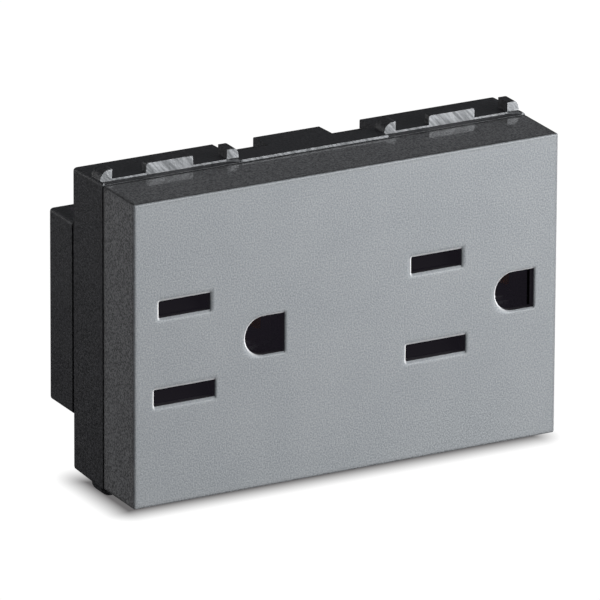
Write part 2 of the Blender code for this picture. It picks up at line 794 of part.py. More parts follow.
def make_earth_bar():
    """A rail between the two grips, a flange behind each and a raised terminal tongue."""
    lines = sorted(earth_lines().values())
    grip_half = EARTH_PIN_RADIUS + 0.85
    flange = (earth_flange_front(), earth_flange_front() + EARTH_BAR_THICKNESS)
    rail_z = (-EARTH_BAR_THICKNESS / 2, EARTH_BAR_THICKNESS / 2)
    rail_x = (lines[0] + grip_half + 0.4, lines[1] - grip_half - 0.4)
    bar = block("earth_bar", rail_x, (EARTH_LEG_FRONT, flange[1]), rail_z)
    height = (-GRIP_HALF_HEIGHT, GRIP_HALF_HEIGHT)
    left = block("earth_flange_left", (lines[0] - grip_half, rail_x[0] + 0.8), flange, height)
    right = block("earth_flange_right", (rail_x[1] - 0.8, lines[1] + grip_half), flange, height)
    tongue = (TERMINALS["earth"][0] - TONGUE_HALF_WIDTH, TERMINALS["earth"][0] + TONGUE_HALF_WIDTH)
    leg_y = (EARTH_LEG_FRONT, EARTH_LEG_FRONT + EARTH_BAR_THICKNESS)
    leg = block("earth_leg", tongue, leg_y, (rail_z[0], BAR_TOP))
    top = block("earth_tongue", tongue, (EARTH_LEG_FRONT, CONTACT_BACK), (BAR_UNDER, BAR_TOP))
    join(bar, left, right, leg, top)
    for side, x in earth_lines().items():
        hole = [(RIVET_RADIUS + THIN_GAP, flange[0] - 1), (RIVET_RADIUS + THIN_GAP, flange[1] + 1)]
        cut(bar, turned(f"earth_bar_hole_{side}", "Y", (x, 0.0), hole, steps=16))
    return brass(bar)


# Spring leaves and earth grips


def leaf_rivet_y():
    return CONTACT_BACK - 2.6


def make_leaf(pole, side, place, blade_x, width):
    """A bronze leaf riveted under the bar; it presses the blade against the bar's pad."""
    seat_front = leaf_rivet_y() - 1.65
    seat_back = leaf_rivet_y() + 1.7
    belly = (NIP_DEPTH + seat_front) / 2
    seat_z = BAR_UNDER - GAP - LEAF_THICKNESS / 2
    nip_z = BAR_UNDER - BLADE_THICKNESS + 0.12 - LEAF_THICKNESS / 2
    low_z = BLADE_Z - 2.1
    line = [
        (seat_back, seat_z),
        (seat_front, seat_z),
        (seat_front - 0.35, low_z + 0.5),
        (seat_front - 1.05, low_z),
        (belly, low_z + 0.2),
        (NIP_DEPTH, nip_z),
        (PAD_FRONT + 0.2, low_z + 0.1),
    ]
    outline = [(y, side * z) for y, z in strip(line, LEAF_THICKNESS)]
    at = (blade_x, leaf_rivet_y(), side * seat_z)
    name = f"{pole}_leaf_{place}"
    leaf = prism(name, outline, "X", blade_x - width / 2, blade_x + width / 2, at)
    hole = [
        (RIVET_RADIUS + THIN_GAP, side * (seat_z - 0.8)),
        (RIVET_RADIUS + THIN_GAP, side * (seat_z + 0.8)),
    ]
    cut(leaf, turned(f"{name}_hole", "Z", (blade_x, leaf_rivet_y()), hole, steps=16))
    return bronze(leaf)


def grip_base_back():
    return CONTACT_BACK - 1.1


def make_earth_grip(place, earth_x):
    """A U-shaped grip; its two sides close on the round earth pin."""
    base = grip_base_back() - GRIP_THICKNESS / 2
    nip = EARTH_PIN_RADIUS - 0.2 + GRIP_THICKNESS / 2
    wide = EARTH_PIN_RADIUS + 0.45
    half = [(wide + 0.4, GRIP_FRONT), (nip, NIP_DEPTH), (wide, base - 6.5), (wide, base)]
    line = [(-x, y) for x, y in half] + half[::-1]
    outline = [(earth_x + x, y) for x, y in strip(line, GRIP_THICKNESS)]
    name = f"earth_grip_{place}"
    grip = prism(name, outline, "Z", -GRIP_HALF_HEIGHT, GRIP_HALF_HEIGHT, (earth_x, base, 0.0))
    hole = [(RIVET_RADIUS + THIN_GAP, base - 1), (RIVET_RADIUS + THIN_GAP, base + 1)]
    cut(grip, turned(f"{name}_hole", "Y", (earth_x, 0.0), hole, steps=16))
    return bronze(grip)


def rivet(name, axis, centre, low, high, head_height, at):
    """A rivet that clamps what lies between low and high."""
    low -= 0.1
    high += 0.1
    rounded = RIVET_HEAD_RADIUS - 0.35
    sections = [
        (rounded, low - head_height),
        (RIVET_HEAD_RADIUS, low - head_height * 0.45),
        (RIVET_HEAD_RADIUS, low),
        (RIVET_RADIUS, low),
        (RIVET_RADIUS, high),
        (RIVET_HEAD_RADIUS, high),
        (RIVET_HEAD_RADIUS, high + head_height * 0.45),
        (rounded, high + head_height),
    ]
    return smooth(zinc(turned(name, axis, centre, sections, at, 16)))


def make_rivets():
    for place, blade_x in BLADE_LINES.items():
        leaf_under = BAR_UNDER - GAP - LEAF_THICKNESS
        for pole, side in (("line", 1), ("neutral", -1)):
            low, high = sorted([side * leaf_under, side * BAR_TOP])
            at = (blade_x, leaf_rivet_y(), low)
            centre = (blade_x, leaf_rivet_y())
            rivet(f"{pole}_rivet_{place}", "Z", centre, low, high, RIVET_HEAD_HEIGHT, at)
    for place, x in earth_lines().items():
        low = grip_base_back() - GRIP_THICKNESS
        high = earth_flange_front() + EARTH_BAR_THICKNESS
        at = (x, low, 0.0)
        rivet(f"earth_rivet_{place}", "Y", (x, 0.0), low, high, EARTH_RIVET_HEAD_HEIGHT, at)


# Terminals


def make_cage(pole, x, side):
    """A clamp cage around the tongue; the wires go in under the tongue."""
    z = sorted([side * CAGE_BOTTOM, side * CAGE_TOP])
    at = (x, CAGE_CENTRE, side * CAGE_TOP)
    span = (x - CAGE_HALF_WIDTH, x + CAGE_HALF_WIDTH)
    cage = block(f"{pole}_clamp_cage", span, (CAGE_FRONT, CAGE_BACK), z, at)
    round_edges(cage, runs_along("Y"), 0.35, 2)
    inner = sorted([side * (CAGE_BOTTOM + CAGE_WALL), side * (CAGE_TOP - CAGE_ROOF)])
    inner_x = (span[0] + CAGE_WALL, span[1] - CAGE_WALL)
    way = block(f"{pole}_cage_way", inner_x, (CAGE_FRONT - 1, CAGE_BACK + 1), inner)
    radius = SCREW_RADIUS + 0.2
    hole = [(radius, side * (CAGE_TOP - CAGE_ROOF - 0.5)), (radius, side * (CAGE_TOP + 0.5))]
    cut(cage, way, turned(f"{pole}_cage_hole", "Z", (x, CAGE_CENTRE), hole, steps=20))
    return zinc(cage)


def make_screw(pole, x, side):
    """A clamp screw with a chamfered head and a cross recess."""
    tip = BAR_TOP + 0.2
    under = SCREW_HEAD_UNDER
    top = under + SCREW_HEAD_HEIGHT
    sections = [
        (SCREW_RADIUS - 0.4, side * tip),
        (SCREW_RADIUS, side * (tip + 0.4)),
        (SCREW_RADIUS, side * under),
        (SCREW_HEAD_RADIUS, side * under),
        (SCREW_HEAD_RADIUS, side * (top - 0.3)),
        (SCREW_HEAD_RADIUS - 0.3, side * top),
    ]
    name = f"{pole}_terminal_screw"
    screw = turned(name, "Z", (x, CAGE_CENTRE), sections, (x, CAGE_CENTRE, side * top))
    recess = sorted([side * (top - SCREW_RECESS_DEPTH), side * (top + 0.5)])
    half = SCREW_RECESS_WIDTH / 2
    reach = SCREW_HEAD_RADIUS - 0.5
    y = CAGE_CENTRE
    slot = block(f"{name}_slot", (x - reach, x + reach), (y - half, y + half), recess)
    cross = block(f"{name}_cross", (x - half, x + half), (y - reach, y + reach), recess)
    cut(screw, slot, cross)
    return smooth(zinc(screw))


# Rear housing


def housing_shell():
    shell = block(
        "rear_housing",
        (-HALF_WIDTH, HALF_WIDTH),
        (HOUSING_FRONT, OVERALL_DEPTH),
        (-HOUSING_HALF_HEIGHT, HOUSING_HALF_HEIGHT),
    )
    round_edges(shell, runs_along("Y"), HOUSING_CORNER_RADIUS)
    round_edges(shell, lies_at("Y", OVERALL_DEPTH), HOUSING_CORNER_RADIUS / 2, 2)
    return shell


def housing_spigot():
    return block(
        "housing_spigot",
        (-SPIGOT_HALF_WIDTH, SPIGOT_HALF_WIDTH),
        (SPIGOT_FRONT, HOUSING_FRONT + 0.5),
        (-SPIGOT_HALF_HEIGHT, SPIGOT_HALF_HEIGHT),
    )


def spigot_hollow():
    x = SPIGOT_HALF_WIDTH - SPIGOT_WALL
    z = SPIGOT_HALF_HEIGHT - SPIGOT_WALL
    return block("spigot_hollow", (-x, x), (SPIGOT_FRONT - 1.0, HOUSING_INNER_BACK), (-z, z))


def terminal_hollow():
    x = HALF_WIDTH - HOUSING_WALL
    z = HOUSING_INNER_HALF_HEIGHT
    front = HOUSING_FRONT + FLANGE_THICKNESS
    return block("terminal_hollow", (-x, x), (front, HOUSING_INNER_BACK), (-z, z))


def housing_snap(x, side):
    """A wedge on the spigot that locks behind the frame's back wall."""
    base = side * (SPIGOT_HALF_HEIGHT - 0.4)
    foot = side * SPIGOT_HALF_HEIGHT
    tip = side * (SPIGOT_HALF_HEIGHT + 0.9)
    back = HOUSING_SNAP_BACK
    front = HOUSING_SNAP_FRONT
    profile = [(back, base), (back, tip), (back - 0.3, tip), (front, foot), (front, base)]
    span = (x - SNAP_HALF_LENGTH, x + SNAP_HALF_LENGTH)
    return prism(f"housing_snap_{x:.0f}_{side}", profile, "X", *span)


def cell_walls(name, x, side):
    """Two walls beside a terminal, from the rib to the outer wall."""
    z = sorted([side * (CAGE_BOTTOM - 0.25 - PARTITION), side * (HOUSING_INNER_HALF_HEIGHT + 0.4)])
    y = (HOUSING_FRONT + FLANGE_THICKNESS / 2, HOUSING_INNER_BACK + 0.4)
    walls = []
    for end in (-1, 1):
        edge = x + end * (CAGE_HALF_WIDTH + GAP)
        span = sorted([edge, edge + end * PARTITION])
        walls.append(block(f"{name}_wall_{end}", span, y, z))
    return walls


def cell_rib(name, low, high, side):
    """The shelf between a terminal and the earth bar."""
    z = sorted([side * (CAGE_BOTTOM - 0.25), side * (CAGE_BOTTOM - 0.25 - PARTITION)])
    y = (HOUSING_FRONT + FLANGE_THICKNESS / 2, HOUSING_INNER_BACK + 0.4)
    return block(name, (low, high), y, z)


def bar_seat(blade_x, side, name):
    """The block inside the rear wall that holds the back end of a bar."""
    z = sorted([side * (BAR_TOP + GAP), side * (HOUSING_INNER_HALF_HEIGHT + 0.4)])
    y = (leaf_rivet_y() + RIVET_HEAD_RADIUS + 0.25, HOUSING_INNER_BACK + 0.4)
    return block(name, (blade_x - 2.5, blade_x + 2.5), y, z)


def screw_hole(pole, x, side):
    radius = SCREW_HEAD_RADIUS + HEAD_CLEARANCE
    depths = (HOUSING_INNER_HALF_HEIGHT - 0.6, HOUSING_HALF_HEIGHT + 1)
    span = [(radius, side * depth) for depth in depths]
    return turned(f"{pole}_screw_hole", "Z", (x, CAGE_CENTRE), span)


def wire_hole(name, x, side):
    z = side * (BAR_UNDER - WIRE_SPACE / 2)
    sections = [
        (WIRE_HOLE_RADIUS, HOUSING_INNER_BACK - 0.5),
        (WIRE_HOLE_RADIUS, OVERALL_DEPTH - 0.5),
        (WIRE_FUNNEL_RADIUS, OVERALL_DEPTH),
        (WIRE_FUNNEL_RADIUS, OVERALL_DEPTH + 1.0),
    ]
    return turned(name, "Y", (x, z), sections, steps=20)


def make_rear_housing():
    housing = housing_shell()
    join(housing, housing_spigot())
    cut(housing, spigot_hollow(), terminal_hollow())
    for place, blade_x in BLADE_LINES.items():
        join(housing, bar_seat(blade_x, 1, f"line_bar_seat_{place}"))
        join(housing, bar_seat(blade_x, -1, f"neutral_bar_seat_{place}"))
    reach = CAGE_HALF_WIDTH + GAP + PARTITION
    left = TERMINALS["line"][0] - reach
    right = TERMINALS["earth"][0] + reach
    join(housing, cell_rib("upper_cell_rib", left, right, 1))
    middle = TERMINALS["neutral"][0]
    join(housing, cell_rib("lower_cell_rib", middle - reach, middle + reach, -1))
    for pole, (x, side) in TERMINALS.items():
        join(housing, *cell_walls(pole, x, side))
    for pole, (x, side) in TERMINALS.items():
        cut(housing, screw_hole(pole, x, side))
        for end in (-1, 1):
            name = f"{pole}_wire_hole_{end}"
            cut(housing, wire_hole(name, x + end * WIRE_HOLE_PITCH / 2, side))
    for x in snap_places():
        join(housing, housing_snap(x, 1), housing_snap(x, -1))
    return smooth(black_plastic(housing))


def clear_scene():
    for obj in list(bpy.data.objects):
        bpy.data.objects.remove(obj, do_unlink=True)


def main():
    clear_scene()
    make_front_cover()
    make_clip_frame()
    make_rear_housing()
    for place, blade_x in BLADE_LINES.items():
        make_shutter(place, blade_x)
        make_spring(place, blade_x)
        make_leaf("line", 1, place, blade_x, LINE_LEAF_WIDTH)
        make_leaf("neutral", -1, place, blade_x, NEUTRAL_LEAF_WIDTH)
        make_earth_grip(place, blade_x + EARTH_PIN_OFFSET)
    make_blade_bar("line", 1)
    make_blade_bar("neutral", -1)
    make_earth_bar()
    make_rivets()
    for pole, (x, side) in TERMINALS.items():
        make_cage(pole, x, side)
        make_screw(pole, x, side)


main()
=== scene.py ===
"""Three-module duplex outlet: a silver cover on a black body, with shutters, contacts and terminals.

The cover's face looks along -Y, X runs to the right along it and Z is up.
Named sizes are in millimetres, except where a comment says metres, and the meshes are in metres.
"""

import json
import math

import bmesh
import bpy
import numpy as np
from mathutils import Matrix, Vector

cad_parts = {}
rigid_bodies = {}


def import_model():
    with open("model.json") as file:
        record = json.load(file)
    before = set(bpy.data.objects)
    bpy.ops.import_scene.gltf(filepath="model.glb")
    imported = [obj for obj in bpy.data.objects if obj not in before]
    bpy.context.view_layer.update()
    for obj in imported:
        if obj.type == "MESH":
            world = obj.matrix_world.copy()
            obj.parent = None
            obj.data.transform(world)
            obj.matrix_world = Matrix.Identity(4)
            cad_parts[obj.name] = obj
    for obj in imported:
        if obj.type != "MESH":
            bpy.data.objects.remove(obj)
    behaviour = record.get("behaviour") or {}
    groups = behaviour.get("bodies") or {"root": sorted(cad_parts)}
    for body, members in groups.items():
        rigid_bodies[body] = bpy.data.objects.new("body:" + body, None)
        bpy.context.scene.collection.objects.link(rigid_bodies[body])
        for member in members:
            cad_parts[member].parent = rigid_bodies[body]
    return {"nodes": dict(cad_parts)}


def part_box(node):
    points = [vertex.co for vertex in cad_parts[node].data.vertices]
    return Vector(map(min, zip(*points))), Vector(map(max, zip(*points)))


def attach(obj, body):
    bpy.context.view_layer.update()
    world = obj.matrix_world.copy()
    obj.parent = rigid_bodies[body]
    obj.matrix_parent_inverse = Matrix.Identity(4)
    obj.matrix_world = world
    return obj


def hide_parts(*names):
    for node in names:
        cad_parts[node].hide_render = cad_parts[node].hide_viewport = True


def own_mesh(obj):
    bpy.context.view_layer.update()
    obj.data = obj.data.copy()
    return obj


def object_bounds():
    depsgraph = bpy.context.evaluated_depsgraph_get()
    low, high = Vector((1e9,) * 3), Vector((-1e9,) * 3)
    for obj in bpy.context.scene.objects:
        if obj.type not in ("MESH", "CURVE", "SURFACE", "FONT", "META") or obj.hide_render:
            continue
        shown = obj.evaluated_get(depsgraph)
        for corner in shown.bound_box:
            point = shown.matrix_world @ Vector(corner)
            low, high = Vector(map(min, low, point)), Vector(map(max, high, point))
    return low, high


for leftover in list(bpy.data.objects):
    bpy.data.objects.remove(leftover)
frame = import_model()
cad_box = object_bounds()
nodes = frame["nodes"]

# Table and studio.
# A pale seamless table under the outlet and a plain pale room round it.
# Both are pale only to the eye; in reflections they are dim, as behind a light tent.
MM = 0.001


def put(tree, kind, values=None, **settings):
    """Adds one node to a tree.

    A value is a number, a colour or another node's output, and its key is a socket's name or place.
    """
    added = tree.nodes.new(kind)
    for name, setting in settings.items():
        setattr(added, name, setting)
    for key, value in (values or {}).items():
        if isinstance(value, bpy.types.NodeSocket):
            tree.links.new(value, added.inputs[key])
        else:
            added.inputs[key].default_value = value
    return added


def new_tree(owner):
    """The emptied node tree of a material or a world."""
    owner.use_nodes = True
    owner.node_tree.nodes.clear()
    return owner.node_tree


def surface(name, grids):
    """One closed mesh from point grids in millimetres.

    Each four neighbouring points of a grid make a face, then equal points are welded.
    """
    points, faces, start = [], [], 0
    for grid in grids:
        rows, columns = grid.shape[:2]
        index = start + np.arange(rows * columns).reshape(rows, columns)
        corners = [index[:-1, :-1], index[:-1, 1:], index[1:, 1:], index[1:, :-1]]
        points.append(grid.reshape(-1, 3) * MM)
        faces.append(np.stack(corners, axis=-1).reshape(-1, 4))
        start += rows * columns
    mesh = bpy.data.meshes.new(name)
    mesh.from_pydata(np.concatenate(points).tolist(), [], np.concatenate(faces).tolist())
    work = bmesh.new()
    work.from_mesh(mesh)
    bmesh.ops.remove_doubles(work, verts=work.verts, dist=2e-6)
    bmesh.ops.recalc_face_normals(work, faces=work.faces)
    work.to_mesh(mesh)
    work.free()
    mesh.shade_smooth()
    made = bpy.data.objects.new(name, mesh)
    bpy.context.scene.collection.objects.link(made)
    return made


FLOOR_HALF = 6000.0
AWAY = np.linspace(-FLOOR_HALF, FLOOR_HALF, 5)
floor_x, floor_y = np.meshgrid(AWAY, AWAY)
floor_z = np.full_like(floor_x, cad_box[0].z / MM)
table = surface("table", [np.stack([floor_x, floor_y, floor_z], axis=-1)])

# A painted shadow stands in for the one the lamps would cast: darkest under the outlet, it fades to white
# over a few millimetres round it.
# Each fade runs between two places in metres: off to either side, in front along Y and behind along Y.
SIDE_FADE, FRONT_FADE, BACK_FADE = (0.0317, 0.0358), (0.0040, -0.0004), (0.0165, 0.0225)
PAINTED_SHADOW_COLOUR, FADE_CURVE = (0.155, 0.150, 0.152, 1), 1.25

table_finish = bpy.data.materials.new("table_white")
tree = new_tree(table_finish)
eye = put(tree, "ShaderNodeLightPath")
where = put(tree, "ShaderNodeTexCoord")
spot = put(tree, "ShaderNodeSeparateXYZ", {0: where.outputs["Object"]})
off_middle = put(tree, "ShaderNodeMath", {0: spot.outputs[0]}, operation="ABSOLUTE")
fades = []
for place, (start, end) in (
    (off_middle.outputs[0], SIDE_FADE),
    (spot.outputs[1], FRONT_FADE),
    (spot.outputs[1], BACK_FADE),
):
    fade = put(tree, "ShaderNodeMapRange", {"Value": place, "From Min": start, "From Max": end})
    fades.append(fade.outputs[0])
along = put(tree, "ShaderNodeMath", {0: fades[1], 1: fades[2]}, operation="MAXIMUM")
corner = put(tree, "ShaderNodeCombineXYZ", {0: fades[0], 1: along.outputs[0]})
clear = put(tree, "ShaderNodeVectorMath", {0: corner.outputs[0]}, operation="LENGTH")
near = put(tree, "ShaderNodeMath", {0: 1.0, 1: clear.outputs["Value"]}, operation="SUBTRACT", use_clamp=True)
near = put(tree, "ShaderNodeMath", {0: near.outputs[0], 1: FADE_CURVE}, operation="POWER")
shade = put(
    tree,
    "ShaderNodeMix",
    {"Factor": near.outputs[0], "A": (1, 1, 1, 1), "B": PAINTED_SHADOW_COLOUR},
    data_type="RGBA",
)
glow = put(tree, "ShaderNodeEmission", {"Color": shade.outputs["Result"], "Strength": 1.02})
dull = put(tree, "ShaderNodeBsdfDiffuse", {"Color": (0.16, 0.16, 0.165, 1)})
either = put(
    tree,
    "ShaderNodeMixShader",
    {0: eye.outputs["Is Camera Ray"], 1: dull.outputs[0], 2: glow.outputs[0]},
)
put(tree, "ShaderNodeOutputMaterial", {"Surface": either.outputs[0]})
table.data.materials.append(table_finish)

room = bpy.data.worlds.new("room")
bpy.context.scene.world = room
tree = new_tree(room)
eye = put(tree, "ShaderNodeLightPath")
dim = put(tree, "ShaderNodeBackground", {"Color": (0.90, 0.94, 1.0, 1), "Strength": 0.10})
pale = put(tree, "ShaderNodeBackground", {"Color": (1, 1, 1, 1), "Strength": 1.0})
either = put(
    tree,
    "ShaderNodeMixShader",
    {0: eye.outputs["Is Camera Ray"], 1: dim.outputs[0], 2: pale.outputs[0]},
)
put(tree, "ShaderNodeOutputWorld", {"Surface": either.outputs[0]})
bpy.context.scene.view_settings.view_transform = "Standard"


def soft_light(name, place, aim, size, power):
    """A rectangular lamp behind cloth; place, aim and size are in metres and power in watts."""
    lamp = bpy.data.lights.new(name, "AREA")
    lamp.shape = "RECTANGLE"
    lamp.size, lamp.size_y = size
    lamp.energy = power
    made = bpy.data.objects.new(name, lamp)
    made.location = place
    made.rotation_mode = "QUATERNION"
    made.rotation_quaternion = (Vector(aim) - Vector(place)).to_track_quat("-Z", "Y")
    bpy.context.scene.collection.objects.link(made)


soft_light("front_lamp", (0.41, -0.37, 0.0), (0, 0, 0), (0.56, 0.44), 9.2)
soft_light("left_lamp", (-0.44, -0.02, 0.06), (0, 0, 0), (0.34, 0.34), 0.40)
soft_light("top_lamp", (-0.05, 0.12, 0.42), (0, 0.01, 0), (0.30, 0.30), 0.32)
soft_light("back_lamp", (-0.44, 0.27, 0.03), (0, 0.01, 0), (0.30, 0.30), 1.25)
soft_light("right_lamp", (0.48, 0.20, 0.10), (0, 0, 0), (0.20, 0.20), 0.45)

# Camera, at the left of the cover's front and a little above it.
# It stands far off behind a long lens, so upright edges stay almost parallel.
TURN, RISE, ROLL = math.radians(28.44), math.radians(19.62), math.radians(0.292)
DISTANCE, SHIFT_RIGHT, SHIFT_UP = 1389.35, -6.508, 2.853
LENS, SENSOR = 607.8, 36.0
away = Vector((-math.sin(TURN) * math.cos(RISE), -math.cos(TURN) * math.cos(RISE), math.sin(RISE)))
level = Vector((math.cos(TURN), -math.sin(TURN), 0))
upward = away.cross(level)
right = level * math.cos(ROLL) + upward * math.sin(ROLL)
up = upward * math.cos(ROLL) - level * math.sin(ROLL)
stand = (right * SHIFT_RIGHT + up * SHIFT_UP + away * DISTANCE) * MM
camera = bpy.data.objects.new("camera", bpy.data.cameras.new("camera"))
camera.data.lens = LENS
camera.data.sensor_width = SENSOR
camera.data.clip_start, camera.data.clip_end = 0.05, 50
camera.matrix_world = Matrix([(right[i], up[i], away[i], stand[i]) for i in range(3)] + [(0, 0, 0, 1)])
bpy.context.scene.collection.objects.link(camera)
bpy.context.scene.camera = camera

# Front cover.
# One thin moulding, open at the back, sprayed in fine-grained silver and covered with clear lacquer.
# It carries both sockets' openings and snaps over the body from the front.
FACE_HALF_X, FACE_HALF_Z = 33.0, 22.0
COVER_DEPTH, SKIN, WALL = 9.0, 1.2, 1.5
EDGE_RADIUS, BACK_CHAMFER, RIM_DEPTH = 0.30, 0.14, 0.17
EDGE_STEPS, FACE_STEPS = 8, 3
COLUMN_LINES = [-32.7, -31.0, -19.4, -17.2, -8.5, 7.6, 19.9, 21.8, 30.5, 32.7]
COLUMN_STEPS = [3, 24, 3, 22, 12, 24, 3, 22, 3]
ROW_LINES = [-21.7, -9.1, -3.6, 3.6, 9.1, 21.7]
ROW_STEPS = [10, 12, 18, 12, 10]

# Each socket's openings: a long slot below, a short slot above, and an earth hole to their right.
# Corner radii start at the lower left, and lips are the slope's widths at the left, bottom, right and top.
LONG_SLOT_HALF, SHORT_SLOT_HALF, SLOT_NEAR, SLOT_FAR = 4.7, 3.95, 5.15, 7.55
EARTH_START, EARTH_END, EARTH_HALF = 9.35, 15.45, 2.8
SLOT_RADII, ROUND_RADII = (0.22, 0.05, 0.05, 0.22), (2.78, 0.05, 0.05, 2.78)
SLOT_LIPS, ROUND_LIPS = (0.25, 0.42, 0.05, 0.34), (0.24, 0.26, 0.05, 0.28)
OPENINGS = {}
for blades, slots, earth in ((-25.2, 1, 3), (13.95, 5, 7)):
    x0, x1 = blades - LONG_SLOT_HALF, blades + LONG_SLOT_HALF
    OPENINGS[slots, 1] = (x0, x1, -SLOT_FAR, -SLOT_NEAR, SLOT_RADII, SLOT_LIPS)
    x0, x1 = blades - SHORT_SLOT_HALF, blades + SHORT_SLOT_HALF
    OPENINGS[slots, 3] = (x0, x1, SLOT_NEAR, SLOT_FAR, SLOT_RADII, SLOT_LIPS)
    x0, x1 = blades + EARTH_START, blades + EARTH_END
    OPENINGS[earth, 2] = (x0, x1, -EARTH_HALF, EARTH_HALF, ROUND_RADII, ROUND_LIPS)


def cell_edge(x0, x1, z0, z1, across, upwards):
    """Points round a cell, anticlockwise from its lower left corner, evenly spaced on each side."""
    along = (x1 - x0) * (np.arange(across) / across)
    up_side = (z1 - z0) * (np.arange(upwards) / upwards)
    xs = [x0 + along, np.full(upwards, x1), x1 - along, np.full(upwards, x0)]
    zs = [np.full(across, z0), z0 + up_side, np.full(across, z1), z1 - up_side]
    return np.stack([np.concatenate(xs), np.concatenate(zs)], axis=-1)


def opening_edge(x0, x1, z0, z1, radii, lips, share, across, upwards, bend=4):
    """Points round an opening with rounded corners, each side moved out by a share of its lip.

    A side's points run from the middle of one corner's arc to the middle of the next one's.
    """
    left, bottom, right, top = np.array(lips) * share
    grow = min(left, bottom, top)
    x0, x1, z0, z1 = x0 - left, x1 + right, z0 - bottom, z1 + top
    corners = np.array([(x0, z0), (x1, z0), (x1, z1), (x0, z1)])
    ring = []
    for side, count in enumerate((across, upwards, across, upwards)):
        start, end = corners[side], corners[(side + 1) % 4]
        run = (end - start) / np.linalg.norm(end - start)
        out = np.array([run[1], -run[0]])
        r0, r1 = radii[side] + grow, radii[(side + 1) % 4] + grow
        leave = np.radians(45 + 45 * np.arange(bend) / bend)[:, None]
        first = start + r0 * (run - out) + r0 * (out * np.sin(leave) - run * np.cos(leave))
        s = (np.arange(count - 2 * bend) / (count - 2 * bend))[:, None]
        straight = (start + run * r0) * (1 - s) + (end - run * r1) * s
        arrive = np.radians(45 * np.arange(bend) / bend)[:, None]
        last = end - r1 * (run + out) + r1 * (out * np.cos(arrive) + run * np.sin(arrive))
        ring += [first, straight, last]
    return np.concatenate(ring)


def at_depth(ring, depth):
    """A closed ring of (x, z) points at one depth behind the face; its first point comes again at its end."""
    ring = np.concatenate([ring, ring[:1]])
    return np.stack([ring[:, 0], np.full(len(ring), depth), ring[:, 1]], axis=-1)


def skin_cells(half_x, half_z, depth, share):
    """The skin's flat surface at one depth.

    A plain cell is a flat grid, and a cell with an opening goes evenly from the opening's edge to its own.
    """
    xs = np.array(COLUMN_LINES) * half_x / COLUMN_LINES[-1]
    zs = np.array(ROW_LINES) * half_z / ROW_LINES[-1]
    grids = []
    for column, across in enumerate(COLUMN_STEPS):
        for row, upwards in enumerate(ROW_STEPS):
            x0, x1, z0, z1 = xs[column], xs[column + 1], zs[row], zs[row + 1]
            if (column, row) in OPENINGS:
                hole = opening_edge(*OPENINGS[column, row], share, across, upwards)
                edge = cell_edge(x0, x1, z0, z1, across, upwards)
                reach = np.linspace(0, 1, FACE_STEPS + 1)[:, None, None]
                inner, outer = at_depth(hole, depth)[None], at_depth(edge, depth)[None]
                grids.append(inner * (1 - reach) + outer * reach)
            else:
                gx, gz = np.meshgrid(np.linspace(x0, x1, across + 1), np.linspace(z0, z1, upwards + 1))
                grids.append(np.stack([gx, np.full_like(gx, depth), gz], axis=-1))
    return grids


def opening_walls():
    """Each opening's wall, as rings at growing depths.

    A flat lip slopes down to RIM_DEPTH with both its edges slightly eased, then a wall goes straight through.
    """
    grow = np.array([1.0, 0.90, 0.10, 0.0, 0.0, 0.0])
    depth = np.array([0.0, 0.06, 0.94, 1.10, 2.0, SKIN / RIM_DEPTH]) * RIM_DEPTH
    grids = []
    for (column, row), opening in OPENINGS.items():
        counts = COLUMN_STEPS[column], ROW_STEPS[row]
        rings = [at_depth(opening_edge(*opening, g, *counts), d) for g, d in zip(grow, depth)]
        grids.append(np.stack(rings))
    return grids


def lattice(lines, steps):
    """The cell lines with each gap cut into its even steps, as shares of the last line."""
    parts = [np.linspace(a, b, n, endpoint=False) for a, b, n in zip(lines[:-1], lines[1:], steps)]
    return np.append(np.concatenate(parts), lines[-1]) / lines[-1]


def side_ring(half_x, half_z, radius, depth):
    """Points round the cover at one depth.

    Each side keeps the cells' spacing, and each corner is a quarter round of the radius.
    """
    u, w = lattice(COLUMN_LINES, COLUMN_STEPS), lattice(ROW_LINES, ROW_STEPS)
    a, b = half_x - radius, half_z - radius
    bend = np.radians(np.linspace(0, 90, EDGE_STEPS + 1)[1:-1])
    sides = [
        np.stack([u * a, np.full_like(u, -half_z)], axis=-1),
        np.stack([a + radius * np.sin(bend), -b - radius * np.cos(bend)], axis=-1),
        np.stack([np.full_like(w, half_x), w * b], axis=-1),
        np.stack([a + radius * np.cos(bend), b + radius * np.sin(bend)], axis=-1),
        np.stack([-u * a, np.full_like(u, half_z)], axis=-1),
        np.stack([-a - radius * np.sin(bend), b + radius * np.cos(bend)], axis=-1),
        np.stack([np.full_like(w, -half_x), -w * b], axis=-1),
        np.stack([-a - radius * np.cos(bend), -b - radius * np.sin(bend)], axis=-1),
    ]
    return at_depth(np.concatenate(sides), depth)


def cover_sides():
    """The cover's profile carried round it: face edge, outer wall, rim and inner wall."""
    turn = np.linspace(0, np.pi / 2, EDGE_STEPS + 1)
    flat_x, flat_z = FACE_HALF_X - EDGE_RADIUS, FACE_HALF_Z - EDGE_RADIUS
    profile = [(EDGE_RADIUS * math.sin(t), EDGE_RADIUS * (1 - math.cos(t))) for t in turn]
    profile += [(EDGE_RADIUS, y) for y in (2.0, 4.5, 7.0, COVER_DEPTH - BACK_CHAMFER)]
    profile += [(EDGE_RADIUS - BACK_CHAMFER, COVER_DEPTH)]
    rings = [side_ring(flat_x + o, flat_z + o, o, y) for o, y in profile]
    for y in (COVER_DEPTH, SKIN):
        rings.append(side_ring(FACE_HALF_X - WALL, FACE_HALF_Z - WALL, 0.0, y))
    return [np.stack(rings)]


face = skin_cells(FACE_HALF_X - EDGE_RADIUS, FACE_HALF_Z - EDGE_RADIUS, 0.0, 1.0)
back_of_skin = skin_cells(FACE_HALF_X - WALL, FACE_HALF_Z - WALL, SKIN, 0.0)
cover = surface("cover_shell", face + back_of_skin + opening_walls() + cover_sides())
level_faces = cover.modifiers.new("level_faces", "WEIGHTED_NORMAL")
level_faces.keep_sharp = True
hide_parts("front_cover")
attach(cover, "outlet_body")


